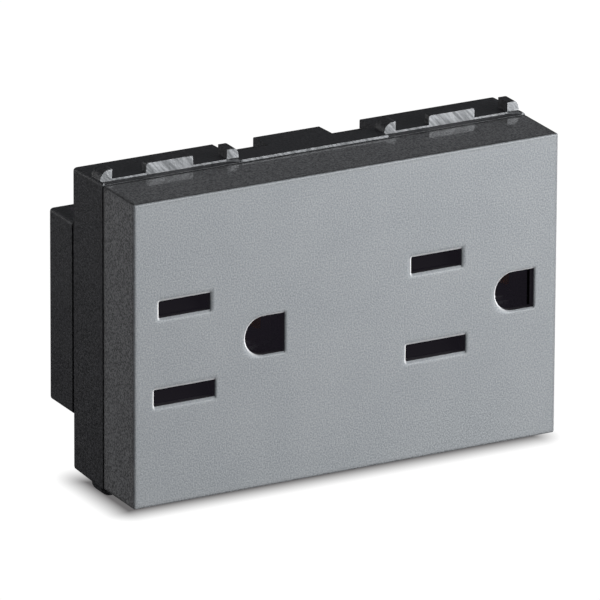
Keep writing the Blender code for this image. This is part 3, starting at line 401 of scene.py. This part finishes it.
def new_group(name, inputs, outputs):
    """A shader group with named sockets, and its two end nodes."""
    group = bpy.data.node_groups.new(name, "ShaderNodeTree")
    for socket, kind, value in inputs:
        made = group.interface.new_socket(socket, in_out="INPUT", socket_type=kind)
        made.default_value = value
    for socket, kind in outputs:
        group.interface.new_socket(socket, in_out="OUTPUT", socket_type=kind)
    return group, group.nodes.new("NodeGroupInput"), group.nodes.new("NodeGroupOutput")


def use_group(tree, group, values=None):
    """Places a shader group in a material."""
    placed = put(tree, "ShaderNodeGroup", node_tree=group)
    for key, value in (values or {}).items():
        if isinstance(value, bpy.types.NodeSocket):
            tree.links.new(value, placed.inputs[key])
        else:
            placed.inputs[key].default_value = value
    return placed


FLOAT, VECTOR = "NodeSocketFloat", "NodeSocketVector"

# Grain: fine specks, and a slow cloudiness much broader than the specks.
grain, took, gave = new_group(
    "surface_grain",
    [("Specks per metre", FLOAT, 4000.0), ("Clouds per metre", FLOAT, 150.0)],
    [("Specks", FLOAT), ("Clouds", FLOAT)],
)
where = put(grain, "ShaderNodeTexCoord")
specks = put(
    grain,
    "ShaderNodeTexNoise",
    {"Vector": where.outputs["Object"], "Scale": took.outputs[0], "Detail": 1.5, "Roughness": 0.6},
)
clouds = put(
    grain,
    "ShaderNodeTexNoise",
    {"Vector": where.outputs["Object"], "Scale": took.outputs[1], "Detail": 3.0, "Roughness": 0.55},
)
grain.links.new(specks.outputs[0], gave.inputs[0])
grain.links.new(clouds.outputs[0], gave.inputs[1])

# Box edges: 1 on the edges of a box with the given middle and half size, fading to 0 at Width from them.
edges, took, gave = new_group(
    "box_edges",
    [("Middle", VECTOR, (0, 0, 0)), ("Half size", VECTOR, (1, 1, 1)), ("Width", FLOAT, 0.001)],
    [("Mask", FLOAT)],
)
where = put(edges, "ShaderNodeTexCoord")
off = put(
    edges,
    "ShaderNodeVectorMath",
    {0: where.outputs["Object"], 1: took.outputs[0]},
    operation="SUBTRACT",
)
off = put(edges, "ShaderNodeVectorMath", {0: off.outputs[0]}, operation="ABSOLUTE")
inside = put(edges, "ShaderNodeVectorMath", {0: took.outputs[1], 1: off.outputs[0]}, operation="SUBTRACT")
axes = put(edges, "ShaderNodeSeparateXYZ", {0: inside.outputs[0]})
lower = put(edges, "ShaderNodeMath", {0: axes.outputs[0], 1: axes.outputs[1]}, operation="MINIMUM")
higher = put(edges, "ShaderNodeMath", {0: axes.outputs[0], 1: axes.outputs[1]}, operation="MAXIMUM")
middle = put(edges, "ShaderNodeMath", {0: higher.outputs[0], 1: axes.outputs[2]}, operation="MINIMUM")
second = put(edges, "ShaderNodeMath", {0: lower.outputs[0], 1: middle.outputs[0]}, operation="MAXIMUM")
mask = put(
    edges,
    "ShaderNodeMapRange",
    {"Value": second.outputs[0], "From Min": 0.0, "From Max": took.outputs[2], "To Min": 1.0, "To Max": 0.0},
    interpolation_type="SMOOTHSTEP",
)
edges.links.new(mask.outputs[0], gave.inputs[0])


def finish_shader(material, **constants):
    """A Principled shader with its constants, joined to the material's output."""
    tree = new_tree(material)
    shader = put(tree, "ShaderNodeBsdfPrincipled")
    for name, value in constants.items():
        shader.inputs[name.replace("_", " ")].default_value = value
    put(tree, "ShaderNodeOutputMaterial", {"Surface": shader.outputs[0]})
    return tree, shader


def between(tree, share, dark, light):
    """A colour that goes from dark to light with the share."""
    ramp = put(tree, "ShaderNodeMix", {"Factor": share}, data_type="RGBA")
    ramp.inputs[6].default_value = (*dark, 1)
    ramp.inputs[7].default_value = (*light, 1)
    return ramp.outputs[2]


def spread(tree, value, low, high, to_low, to_high):
    """Maps a value from one range to another, clamped."""
    mapped = put(
        tree,
        "ShaderNodeMapRange",
        {"Value": value, "From Min": low, "From Max": high, "To Min": to_low, "To Max": to_high},
    )
    return mapped.outputs[0]


def mixed(tree, share, first, second):
    """One colour laid over another by the share."""
    mix = put(tree, "ShaderNodeMix", {"Factor": share}, data_type="RGBA")
    tree.links.new(first, mix.inputs[6])
    tree.links.new(second, mix.inputs[7])
    return mix.outputs[2]


# Opening lips: whether a point lies on an opening's sloping lip or wall, and which way it faces there.
# All the openings lie within these halves of the face, and a lip starts this far behind it, in metres.
OPENINGS_HALF_X, OPENINGS_HALF_Z, LIP_START = 0.0315, 0.0100, 0.000012
lips, took, gave = new_group(
    "opening_lips",
    [("Rim depth", FLOAT, 0.00017)],
    [("Lit lip", FLOAT), ("Lower lip", FLOAT), ("Bare wall", FLOAT), ("Within", FLOAT)],
)
where = put(lips, "ShaderNodeTexCoord")
place = put(lips, "ShaderNodeSeparateXYZ", {0: where.outputs["Object"]})
aside = put(lips, "ShaderNodeMath", {0: place.outputs[0]}, operation="ABSOLUTE")
within = put(lips, "ShaderNodeMath", {0: aside.outputs[0], 1: OPENINGS_HALF_X}, operation="LESS_THAN")
height = put(lips, "ShaderNodeMath", {0: place.outputs[2]}, operation="ABSOLUTE")
inner = put(lips, "ShaderNodeMath", {0: height.outputs[0], 1: OPENINGS_HALF_Z}, operation="LESS_THAN")
within = put(lips, "ShaderNodeMath", {0: within.outputs[0], 1: inner.outputs[0]}, operation="MULTIPLY")
lips.links.new(within.outputs[0], gave.inputs[3])
deep = put(lips, "ShaderNodeMath", {0: place.outputs[1], 1: took.outputs[0]}, operation="GREATER_THAN")
bare = put(lips, "ShaderNodeMath", {0: deep.outputs[0], 1: within.outputs[0]}, operation="MULTIPLY")
lips.links.new(bare.outputs[0], gave.inputs[2])
facing = put(lips, "ShaderNodeNewGeometry")
facing = put(lips, "ShaderNodeSeparateXYZ", {0: facing.outputs["Normal"]})
below_face = put(lips, "ShaderNodeMath", {0: place.outputs[1], 1: LIP_START}, operation="GREATER_THAN")
on_lip = put(lips, "ShaderNodeMath", {0: below_face.outputs[0], 1: within.outputs[0]}, operation="MULTIPLY")
down = put(lips, "ShaderNodeMath", {0: facing.outputs[2], 1: -0.9}, operation="MULTIPLY", use_clamp=True)
to_right = put(lips, "ShaderNodeMath", {0: facing.outputs[0], 1: 1.5}, operation="MULTIPLY", use_clamp=True)
lit = put(lips, "ShaderNodeMath", {0: down.outputs[0], 1: to_right.outputs[0]}, operation="MAXIMUM")
lit = put(lips, "ShaderNodeMath", {0: lit.outputs[0], 1: on_lip.outputs[0]}, operation="MULTIPLY")
lips.links.new(lit.outputs[0], gave.inputs[0])
upper = put(lips, "ShaderNodeMath", {0: facing.outputs[2], 1: 0.9}, operation="MULTIPLY", use_clamp=True)
upper = put(lips, "ShaderNodeMath", {0: upper.outputs[0], 1: on_lip.outputs[0]}, operation="MULTIPLY")
lips.links.new(upper.outputs[0], gave.inputs[1])

# Silver lacquer: fine flecks on the face, a thin coat on the sides that lets the black show through, and bare
# black plastic on the walls behind the lips.
# Painted light on it: painted shade along the cover's edges and on the upward lips, painted highlights on the
# lips facing down or right and round the back edge, and a faint painted glow on the bare walls.
silver = bpy.data.materials.new("silver_lacquer")
tree, shader = finish_shader(silver, IOR=1.5, Coat_Roughness=0.03, Coat_IOR=1.5, Emission_Strength=1.0)
marks = use_group(tree, grain, {0: 4300.0, 1: 120.0})
edge_shade_band = use_group(tree, edges, {0: (0, 0.0045, 0), 1: (0.033, 0.0045, 0.022), 2: 0.0007})
lip = use_group(tree, lips, {0: 0.00018})
lit_lip, lower_lip, bare_wall, within = (lip.outputs[i] for i in range(4))
facing = put(tree, "ShaderNodeNewGeometry")
facing = put(tree, "ShaderNodeSeparateXYZ", {0: facing.outputs["Normal"]})
place = put(tree, "ShaderNodeTexCoord")
place = put(tree, "ShaderNodeSeparateXYZ", {0: place.outputs["Object"]})
outside = put(tree, "ShaderNodeMath", {0: 1.0, 1: within}, operation="SUBTRACT")

# The full coat on the face, with painted shade along the edges, a painted highlight on the lips that face
# down or to the right, and painted shade on the lips that face up.
flecks = spread(tree, marks.outputs[0], 0.34, 0.66, 0.0, 1.0)
paint = between(tree, flecks, (0.240, 0.258, 0.274), (0.350, 0.370, 0.388))
cloudy = between(tree, flecks, (0.258, 0.275, 0.290), (0.366, 0.385, 0.402))
paint = mixed(tree, spread(tree, marks.outputs[1], 0.35, 0.65, 0.0, 1.0), paint, cloudy)
shaded_edge_paint = between(tree, flecks, (0.13, 0.135, 0.14), (0.20, 0.21, 0.22))
edge_shade = put(tree, "ShaderNodeMath", {0: edge_shade_band.outputs[0], 1: 0.5}, operation="MULTIPLY")
paint = mixed(tree, edge_shade.outputs[0], paint, shaded_edge_paint)
# Painted highlight: the lips facing down or to the right are painted near white, as if catching the lamps.
lip_highlight_paint = between(tree, flecks, (0.90, 0.91, 0.92), (0.98, 0.98, 0.98))
paint = mixed(tree, lit_lip, paint, lip_highlight_paint)
# Painted shade: the lips facing up are painted a touch darker than the face, as they catch more of the lamps.
lower_lip_shaded_paint = between(tree, flecks, (0.25, 0.265, 0.28), (0.31, 0.325, 0.34))
paint = mixed(tree, lower_lip, paint, lower_lip_shaded_paint)

# The thin coat on the sides, with painted shade along their edges and a painted highlight as a paler line
# round the back edge.
sideways = spread(tree, facing.outputs[1], -0.65, -0.30, 0.0, 1.0)
thin = put(tree, "ShaderNodeMath", {0: sideways, 1: outside.outputs[0]}, operation="MULTIPLY")
speckle = use_group(tree, grain, {0: 4200.0, 1: 300.0})
thin_flecks = spread(tree, speckle.outputs[0], 0.38, 0.62, 0.0, 1.0)
thin_paint = between(tree, thin_flecks, (0.030, 0.030, 0.031), (0.165, 0.166, 0.172))
thin_shaded_edge = between(tree, thin_flecks, (0.012, 0.012, 0.013), (0.05, 0.05, 0.052))
thin_paint = mixed(tree, edge_shade_band.outputs[0], thin_paint, thin_shaded_edge)
back_edge_highlight = spread(tree, place.outputs[1], 0.00880, 0.00888, 0.0, 0.8)
back_highlight_paint = between(tree, flecks, (0.26, 0.265, 0.27), (0.36, 0.365, 0.37))
thin_paint = mixed(tree, back_edge_highlight, thin_paint, back_highlight_paint)
paint = mixed(tree, thin.outputs[0], paint, thin_paint)
# The walls behind the lips are bare black plastic, kept darker than the other mouldings as painted shade.
bare_plastic = between(tree, flecks, (0.0060, 0.0055, 0.0070), (0.0105, 0.0095, 0.0125))
tree.links.new(mixed(tree, bare_wall, paint, bare_plastic), shader.inputs["Base Color"])

# Paint is a little metallic, and clear lacquer lies on the flat sides but not on their edges.
painted = put(tree, "ShaderNodeMath", {0: 1.0, 1: bare_wall}, operation="SUBTRACT")
metal = put(tree, "ShaderNodeMath", {0: painted.outputs[0], 1: 0.22}, operation="MULTIPLY")
tree.links.new(metal.outputs[0], shader.inputs["Metallic"])
flat_side = spread(tree, facing.outputs[1], -0.15, -0.03, 0.0, 0.9)
off_edge = spread(tree, edge_shade_band.outputs[0], 0.0, 0.5, 1.0, 0.0)
lacquer = put(tree, "ShaderNodeMath", {0: flat_side, 1: off_edge}, operation="MULTIPLY")
lacquer = put(tree, "ShaderNodeMath", {0: lacquer.outputs[0], 1: outside.outputs[0]}, operation="MULTIPLY")
tree.links.new(lacquer.outputs[0], shader.inputs["Coat Weight"])
matt = put(tree, "ShaderNodeMath", {0: lower_lip, 1: 0.9}, operation="MULTIPLY")
sheen = spread(tree, marks.outputs[0], 0.3, 0.7, 0.42, 0.56)
rough = put(tree, "ShaderNodeMath", {0: sheen, 1: matt.outputs[0]}, operation="ADD", use_clamp=True)
tree.links.new(rough.outputs[0], shader.inputs["Roughness"])
# Painted glow: the bare walls give off a faint fixed light, so the openings show an even black.
bare_wall_glow = between(tree, bare_wall, (0.0, 0.0, 0.0), (0.0070, 0.0060, 0.0084))
tree.links.new(bare_wall_glow, shader.inputs["Emission Color"])
bump = put(tree, "ShaderNodeBump", {"Strength": 0.5, "Distance": 0.00004, "Height": marks.outputs[0]})
tree.links.new(bump.outputs[0], shader.inputs["Normal"])
cover.data.materials.append(silver)

# Clip frame.
# The black moulding behind the cover, with fins and spring tabs that hold it in the wall's support frame.
# The cover is sprayed on it, so silver mist lies on the faces that look forward above the cover's top; those
# below the cover's bottom are left bare black as painted shade.


def moulded_copy(name, node, edge_radius, sharp_degrees=32):
    """The node's own shape as it comes from a mould.

    Its loose triangles are welded, its flat faces evened out and its sharp edges given a small radius.
    """
    mesh = nodes[node].data.copy()
    mesh.name = name
    work = bmesh.new()
    work.from_mesh(mesh)
    bmesh.ops.remove_doubles(work, verts=work.verts, dist=1.5e-6)
    bmesh.ops.dissolve_limit(work, angle_limit=math.radians(0.6), verts=work.verts, edges=work.edges)
    bmesh.ops.triangulate(work, faces=work.faces, quad_method="BEAUTY", ngon_method="BEAUTY")
    bmesh.ops.recalc_face_normals(work, faces=work.faces)
    work.to_mesh(mesh)
    work.free()
    mesh.materials.clear()
    made = bpy.data.objects.new(name, mesh)
    bpy.context.scene.collection.objects.link(made)
    mesh.shade_smooth()
    rounding = made.modifiers.new("mould_radius", "BEVEL")
    rounding.width = edge_radius * MM
    rounding.segments = 2
    rounding.limit_method = "ANGLE"
    rounding.angle_limit = math.radians(sharp_degrees)
    evened = made.modifiers.new("level_faces", "WEIGHTED_NORMAL")
    evened.keep_sharp = True
    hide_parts(node)
    return made


clips = moulded_copy("clip_body", "clip_frame", 0.09)
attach(clips, "outlet_body")

# Inner glow: a painted glow, a faint fixed light given off by faces inside the hollow body in place of the
# little light that would reach them.
# A face is inside if it lies within the half size of the middle in X and Z, and in front of the back wall.
BACK_WALL_Y, INNER_GLOW_COLOUR = 0.0238, (0.0088, 0.0076, 0.0106)
inside_box, took, gave = new_group(
    "painted_inner_glow",
    [("Half size", VECTOR, (0.03, 0.0, 0.02))],
    [("Shade", "NodeSocketColor")],
)
where = put(inside_box, "ShaderNodeTexCoord")
off = put(inside_box, "ShaderNodeVectorMath", {0: where.outputs["Object"]}, operation="ABSOLUTE")
left_over = put(
    inside_box,
    "ShaderNodeVectorMath",
    {0: took.outputs[0], 1: off.outputs[0]},
    operation="SUBTRACT",
)
room_x, _, room_z = put(inside_box, "ShaderNodeSeparateXYZ", {0: left_over.outputs[0]}).outputs
least = put(inside_box, "ShaderNodeMath", {0: room_x, 1: room_z}, operation="MINIMUM")
within = put(inside_box, "ShaderNodeMath", {0: least.outputs[0], 1: 0.0}, operation="GREATER_THAN")
depth = put(inside_box, "ShaderNodeSeparateXYZ", {0: where.outputs["Object"]})
ahead = put(inside_box, "ShaderNodeMath", {0: depth.outputs[1], 1: BACK_WALL_Y}, operation="LESS_THAN")
hidden = put(inside_box, "ShaderNodeMath", {0: within.outputs[0], 1: ahead.outputs[0]}, operation="MULTIPLY")
shade = between(inside_box, hidden.outputs[0], (0.0, 0.0, 0.0), INNER_GLOW_COLOUR)
inside_box.links.new(shade, gave.inputs[0])

# Mist streaks: slanting lines in the plane of the face, as a spray gun's passes leave them.
streaks, took, gave = new_group("mist_streaks", [("Streaks per metre", FLOAT, 2600.0)], [("Share", FLOAT)])
where = put(streaks, "ShaderNodeTexCoord")
turned_lines = put(
    streaks,
    "ShaderNodeMapping",
    {"Vector": where.outputs["Object"], "Rotation": (0, math.radians(42), 0)},
)
slant = put(streaks, "ShaderNodeMapping", {"Vector": turned_lines.outputs[0], "Scale": (1.0, 0.3, 0.10)})
lines = put(
    streaks,
    "ShaderNodeTexNoise",
    {"Vector": slant.outputs[0], "Scale": took.outputs[0], "Detail": 1.0, "Roughness": 0.5},
)
streaks.links.new(lines.outputs[0], gave.inputs[0])


def black_plastic(name, inside_half):
    """A moulding's fine texture in near black, with the faint painted glow on faces inside the hollow body;
    inside_half bounds that glow.

    The base colour and the roughness are left for the piece to join.
    """
    made = bpy.data.materials.new(name)
    tree, shader = finish_shader(
        made, IOR=1.46, Metallic=0.0, Specular_IOR_Level=0.38, Emission_Strength=1.0
    )
    inner = use_group(tree, inside_box, {0: inside_half})
    tree.links.new(inner.outputs[0], shader.inputs["Emission Color"])
    marks = use_group(tree, grain, {0: 3100.0, 1: 160.0})
    flecks = spread(tree, marks.outputs[0], 0.32, 0.70, 0.0, 1.0)
    plastic = between(tree, flecks, (0.0070, 0.0070, 0.0082), (0.038, 0.038, 0.042))
    bump = put(tree, "ShaderNodeBump", {"Strength": 0.9, "Distance": 0.00009, "Height": marks.outputs[0]})
    tree.links.new(bump.outputs[0], shader.inputs["Normal"])
    return made, tree, shader, marks, plastic


# The mist's silver lies on faces that look forward, above the height of the cover's top; below the cover such
# faces keep the bare black as painted shade.
MIST_START, MIST_FULL = 0.02192, 0.02204
misted, tree, shader, marks, plastic = black_plastic("black_plastic_misted", (0.0308, 0.0, 0.0100))
brushed = use_group(tree, streaks, {0: 2600.0})
facing = put(tree, "ShaderNodeNewGeometry")
facing = put(tree, "ShaderNodeSeparateXYZ", {0: facing.outputs["Normal"]})
forward = spread(tree, facing.outputs[1], -0.45, -0.85, 0.0, 1.0)
place = put(tree, "ShaderNodeTexCoord")
place = put(tree, "ShaderNodeSeparateXYZ", {0: place.outputs["Object"]})
beyond = spread(tree, place.outputs[2], MIST_START, MIST_FULL, 0.0, 1.0)
mist = put(tree, "ShaderNodeMath", {0: forward, 1: beyond}, operation="MULTIPLY")
streaked = spread(tree, brushed.outputs[0], 0.35, 0.65, 0.0, 1.0)
mist_colour = between(tree, streaked, (0.20, 0.21, 0.22), (0.44, 0.455, 0.475))
tree.links.new(mixed(tree, mist.outputs[0], plastic, mist_colour), shader.inputs["Base Color"])
tree.links.new(spread(tree, marks.outputs[0], 0.3, 0.7, 0.36, 0.52), shader.inputs["Roughness"])
clips.data.materials.append(misted)

# Rear housing.
# A black box that closes the back and holds the terminals; its spigot snaps into the clip frame.
# The wires go in through funnel-shaped holes, and the clamp screws are reached from above and below.
housing = moulded_copy("rear_box", "rear_housing", 0.12)
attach(housing, "outlet_body")

black, tree, shader, marks, plastic = black_plastic("black_plastic_plain", (0.0308, 0.0, 0.0200))
tree.links.new(plastic, shader.inputs["Base Color"])
tree.links.new(spread(tree, marks.outputs[1], 0.3, 0.7, 0.38, 0.52), shader.inputs["Roughness"])
housing.data.materials.append(black)

# Shutters.
# Two matt black plates behind the blade slots, each pushed up by a coil spring and down by a plug's blades.
# The plates are black plastic, but their colour and gloss are taken almost to nothing as painted shade, and
# the faint painted glow of the hollow body lies on them.
dark = bpy.data.materials.new("shutter_black")
tree, shader = finish_shader(dark, IOR=1.46, Metallic=0.0, Specular_IOR_Level=0.02, Emission_Strength=1.0)
inner = use_group(tree, inside_box, {0: (0.0308, 0.0, 0.0200)})
tree.links.new(inner.outputs[0], shader.inputs["Emission Color"])
marks = use_group(tree, grain, {0: 3000.0, 1: 200.0})
flecks = spread(tree, marks.outputs[0], 0.32, 0.70, 0.0, 1.0)
plastic = between(tree, flecks, (0.0002, 0.0002, 0.0003), (0.0012, 0.0011, 0.0014))
tree.links.new(plastic, shader.inputs["Base Color"])
tree.links.new(spread(tree, marks.outputs[0], 0.3, 0.7, 0.55, 0.7), shader.inputs["Roughness"])
for side in ("left", "right"):
    plate = moulded_copy(f"shutter_plate_{side}", f"shutter_{side}", 0.10)
    plate.data.materials.append(dark)
    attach(plate, f"shutter_{side}_body")

# Shutter springs.
# Two compression springs of bright steel wire, their end coils closed and ground flat.
# Each stands on the clip frame's shelf, and its shutter slides down over it.
COIL_RADIUS, WIRE_RADIUS, COIL_TURNS, CLOSED_TURNS = 1.05, 0.15, 7.0, 1.0


def coil(name, centre, low, high):
    """A round wire along a helix.

    The height rises with the turns from low to high, evenly but slowly over the closed coil at each end.
    """
    t = np.linspace(0, 1, 340)
    pitch = np.clip(np.minimum(t, 1 - t) * COIL_TURNS / CLOSED_TURNS, 0.22, 1.0)
    rise = np.concatenate([[0.0], np.cumsum((pitch[1:] + pitch[:-1]) / 2)])
    z = low + WIRE_RADIUS + (high - low - 2 * WIRE_RADIUS) * rise / rise[-1]
    turn = 2 * np.pi * COIL_TURNS * t
    out = np.stack([np.cos(turn), np.sin(turn), np.zeros_like(turn)], axis=-1)
    around = np.linspace(0, 2 * np.pi, 13)
    size = WIRE_RADIUS * np.where((t == 0) | (t == 1), 0.0, 1.0)[:, None, None]
    size[1], size[-2] = WIRE_RADIUS * 0.98, WIRE_RADIUS * 0.98
    upright = np.array([0, 0, 1.0])
    middle = COIL_RADIUS * out + z[:, None] * upright
    ring = out[:, None] * np.cos(around)[None, :, None] + upright * np.sin(around)[None, :, None]
    return surface(name, [middle[:, None] + size * ring + np.array([centre[0], centre[1], 0.0])])


spring_wire = bpy.data.materials.new("spring_wire")
tree, shader = finish_shader(spring_wire, Metallic=1.0)
marks = use_group(tree, grain, {0: 9000.0, 1: 900.0})
flecks = spread(tree, marks.outputs[0], 0.35, 0.65, 0.0, 1.0)
tree.links.new(between(tree, flecks, (0.36, 0.35, 0.34), (0.62, 0.62, 0.62)), shader.inputs["Base Color"])
tree.links.new(spread(tree, marks.outputs[1], 0.3, 0.7, 0.22, 0.42), shader.inputs["Roughness"])
for side in ("left", "right"):
    low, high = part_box(f"shutter_spring_{side}")
    centre = ((low[0] + high[0]) / 2 / MM, (low[1] + high[1]) / 2 / MM)
    spring = coil(f"spring_coil_{side}", centre, low[2] / MM, high[2] / MM)
    spring.data.materials.append(spring_wire)
    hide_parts(f"shutter_spring_{side}")
    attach(spring, "outlet_body")
    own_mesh(spring)

# Current bars.
# Flat stampings of half-hard brass: line above, neutral below and a bent earth bar across the middle.
# Their faces keep the rolling lines of the strip, and their sheared edges are brighter.


def worked_metal(name, dark, light, rough):
    """A drawn or rolled metal: fine lines along X, slow tarnish clouds, corners worn bright, and a faint
    painted glow on faces inside the hollow body.
    """
    made = bpy.data.materials.new(name)
    tree, shader = finish_shader(made, Metallic=1.0, Emission_Strength=0.6)
    inner = use_group(tree, inside_box, {0: (0.0308, 0.0, 0.0180)})
    tree.links.new(inner.outputs[0], shader.inputs["Emission Color"])
    marks = use_group(tree, grain, {0: 7000.0, 1: 260.0})
    spot = put(tree, "ShaderNodeTexCoord")
    rolled = put(tree, "ShaderNodeMapping", {"Vector": spot.outputs["Object"], "Scale": (0.08, 1.0, 1.0)})
    lines = put(tree, "ShaderNodeTexNoise", {"Vector": rolled.outputs[0], "Scale": 6000.0, "Detail": 2.0})
    clouds_tone = between(tree, spread(tree, marks.outputs[1], 0.32, 0.68, 0.0, 1.0), dark, light)
    lines_tone = between(tree, spread(tree, lines.outputs[0], 0.35, 0.65, 0.0, 1.0), dark, light)
    tone = mixed(tree, 0.45, clouds_tone, lines_tone)
    ridge = put(tree, "ShaderNodeNewGeometry")
    ridge = spread(tree, ridge.outputs["Pointiness"], 0.52, 0.60, 0.0, 0.7)
    bright = between(tree, lines.outputs[0], light, tuple(min(1.0, c * 1.25) for c in light))
    tree.links.new(mixed(tree, ridge, tone, bright), shader.inputs["Base Color"])
    tree.links.new(spread(tree, lines.outputs[0], 0.3, 0.7, *rough), shader.inputs["Roughness"])
    bump = put(tree, "ShaderNodeBump", {"Strength": 0.3, "Distance": 0.00002, "Height": lines.outputs[0]})
    tree.links.new(bump.outputs[0], shader.inputs["Normal"])
    return made


rolled_brass = worked_metal("rolled_brass", (0.50, 0.33, 0.11), (0.78, 0.57, 0.25), (0.24, 0.40))
for pole in ("line", "neutral", "earth"):
    bar = moulded_copy(f"{pole}_stamping", f"{pole}_bar", 0.06)
    bar.data.materials.append(rolled_brass)
    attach(bar, "outlet_body")

# Contact leaves and earth grips.
# Thin phosphor-bronze springs: a leaf presses a blade to its bar's pad, and a fork closes on the earth pin.
# They are blanked, bent and left unplated.
bronze = worked_metal("phosphor_bronze", (0.42, 0.22, 0.10), (0.72, 0.46, 0.28), (0.20, 0.36))
for side in ("left", "right"):
    for pole in ("line", "neutral"):
        leaf = moulded_copy(f"{pole}_spring_leaf_{side}", f"{pole}_leaf_{side}", 0.04, 20)
        leaf.data.materials.append(bronze)
        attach(leaf, "outlet_body")
    fork = moulded_copy(f"earth_fork_{side}", f"earth_grip_{side}", 0.04, 20)
    fork.data.materials.append(bronze)
    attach(fork, "outlet_body")

# Rivets.
# Plated steel rivets with a domed factory head and a domed closed end, six in all.
# Each is a profile turned about its own axis.
RIVET_RADIUS, RIVET_HEAD = 0.8, 1.3


def turned_profile(name, profile, middle, axis, steps=40):
    """A round piece: the (radius, height) profile turned about an axis through the middle point."""
    turn = np.linspace(0, 2 * np.pi, steps + 1)
    radius, height = np.array(profile).T
    flat = np.stack([radius[:, None] * np.cos(turn), radius[:, None] * np.sin(turn)], axis=-1)
    grid = np.insert(flat, axis, np.broadcast_to(height[:, None], flat.shape[:2]), axis=-1)
    return surface(name, [grid + np.array(middle)])


def rivet_profile(low, high, head):
    """Heights from low to high with a quarter ellipse of the head's height at each end."""
    bend = np.linspace(0, np.pi / 2, 9)
    lower = [(RIVET_HEAD * math.sin(t), low + head * (1 - math.cos(t))) for t in bend]
    upper = [(RIVET_HEAD * math.cos(t), high - head * (1 - math.sin(t))) for t in bend]
    shank = [(RIVET_RADIUS, low + head), (RIVET_RADIUS, high - head)]
    return lower + shank + upper


plated = worked_metal("bright_zinc", (0.46, 0.47, 0.48), (0.74, 0.75, 0.76), (0.22, 0.40))
for side in ("left", "right"):
    for pole, axis, head in (("line", 2, 0.55), ("neutral", 2, 0.55), ("earth", 1, 0.4)):
        low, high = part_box(f"{pole}_rivet_{side}")
        middle = [(low[i] + high[i]) / 2 / MM for i in range(3)]
        middle[axis] = 0.0
        profile = rivet_profile(low[axis] / MM, high[axis] / MM, head)
        stud = turned_profile(f"{pole}_domed_rivet_{side}", profile, middle, axis)
        stud.data.set_sharp_from_angle(angle=math.radians(50))
        stud.data.materials.append(plated)
        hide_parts(f"{pole}_rivet_{side}")
        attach(stud, "outlet_body")

# Clamp cages.
# Folded and plated steel boxes; each rises on its screw and pinches the wire against the bar's tongue.
for pole in ("line", "neutral", "earth"):
    cage = moulded_copy(f"{pole}_wire_clamp", f"{pole}_clamp_cage", 0.08, 20)
    cage.data.materials.append(plated)
    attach(cage, f"{pole}_clamp_cage_body")

# Terminal screws.
# Plated screws with a rolled thread, a domed washer head and a recess that takes a cross or a flat blade.
SCREW_RADIUS, SCREW_HEAD, HEAD_HEIGHT = 1.45, 2.3, 1.4
THREAD_PITCH, THREAD_DEPTH, THREAD_FADE, TIP_TAPER = 0.5, 0.2, 0.35, 0.4
HEAD_WALL, CROWN_IN, CROWN_UP = 0.7, 0.35, 0.45
RECESS_DEPTH, ARM_HALF, ARM_REACH, ARM_SLOPE = 0.7, 0.46, 1.75, 0.12


def screw_surface(name, middle, tip, top):
    """A screw about Z, from its tip to its head's top.

    The thread's radius dips with the height and the turn, and the head's top sinks inside a cross.
    """
    way = 1.0 if top > tip else -1.0
    length = abs(top - tip)
    turn = np.linspace(0, 2 * np.pi, 97)
    under = length - HEAD_HEIGHT
    shank = np.linspace(0, under, int(under / THREAD_PITCH * 14) + 1)
    wave = np.abs(2 * np.mod(shank[:, None] / THREAD_PITCH - turn[None] / (2 * np.pi), 1.0) - 1)
    fade = np.clip(np.minimum(shank, under - 0.6 - shank) / THREAD_FADE, 0, 1)[:, None]
    taper = np.clip(TIP_TAPER - shank, 0, TIP_TAPER)[:, None]
    thread = SCREW_RADIUS - taper - THREAD_DEPTH * (1 - wave) * fade
    rim = np.array([(SCREW_HEAD, under), (SCREW_HEAD, under + HEAD_WALL)])
    bend = np.linspace(0, np.pi / 2, 7)[1:]
    crown_radius = SCREW_HEAD - CROWN_IN * (1 - np.cos(bend))
    crown = np.stack([crown_radius, under + HEAD_WALL + CROWN_UP * np.sin(bend)], axis=-1)
    inward = np.linspace(1, 0, 34)[1:]
    edge, crest = crown[-1]
    top_radius = edge * inward
    top_height = length - (length - crest) * inward**2
    ring = np.concatenate([rim, crown])
    head_radius = np.concatenate([ring[:, 0], top_radius])[:, None] + np.zeros_like(turn)
    radius = np.concatenate([np.zeros((1, len(turn))), thread, head_radius])
    height = np.concatenate([[0.0], shank, ring[:, 1], top_height])[:, None] + np.zeros_like(turn)
    x, y = radius * np.cos(turn), radius * np.sin(turn)
    across = np.minimum(np.abs(x), np.abs(y))
    along = np.maximum(np.abs(x), np.abs(y))
    inside = np.clip((ARM_HALF - across) / ARM_SLOPE, 0, 1) * np.clip((ARM_REACH - along) / ARM_SLOPE, 0, 1)
    flat_top = np.zeros_like(height)
    flat_top[-len(inward) :] = 1.0
    height = height - RECESS_DEPTH * inside * flat_top
    grid = np.stack([x + middle[0], y + middle[1], tip + way * height], axis=-1)
    return surface(name, [grid])


for pole in ("line", "neutral", "earth"):
    low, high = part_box(f"{pole}_terminal_screw")
    middle = [(low[i] + high[i]) / 2 / MM for i in range(3)]
    ends = (low[2] / MM, high[2] / MM) if middle[2] > 0 else (high[2] / MM, low[2] / MM)
    screw = screw_surface(f"{pole}_threaded_screw", middle, *ends)
    screw.data.set_sharp_from_angle(angle=math.radians(40))
    screw.data.materials.append(plated)
    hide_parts(f"{pole}_terminal_screw")
    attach(screw, f"{pole}_terminal_screw_body")
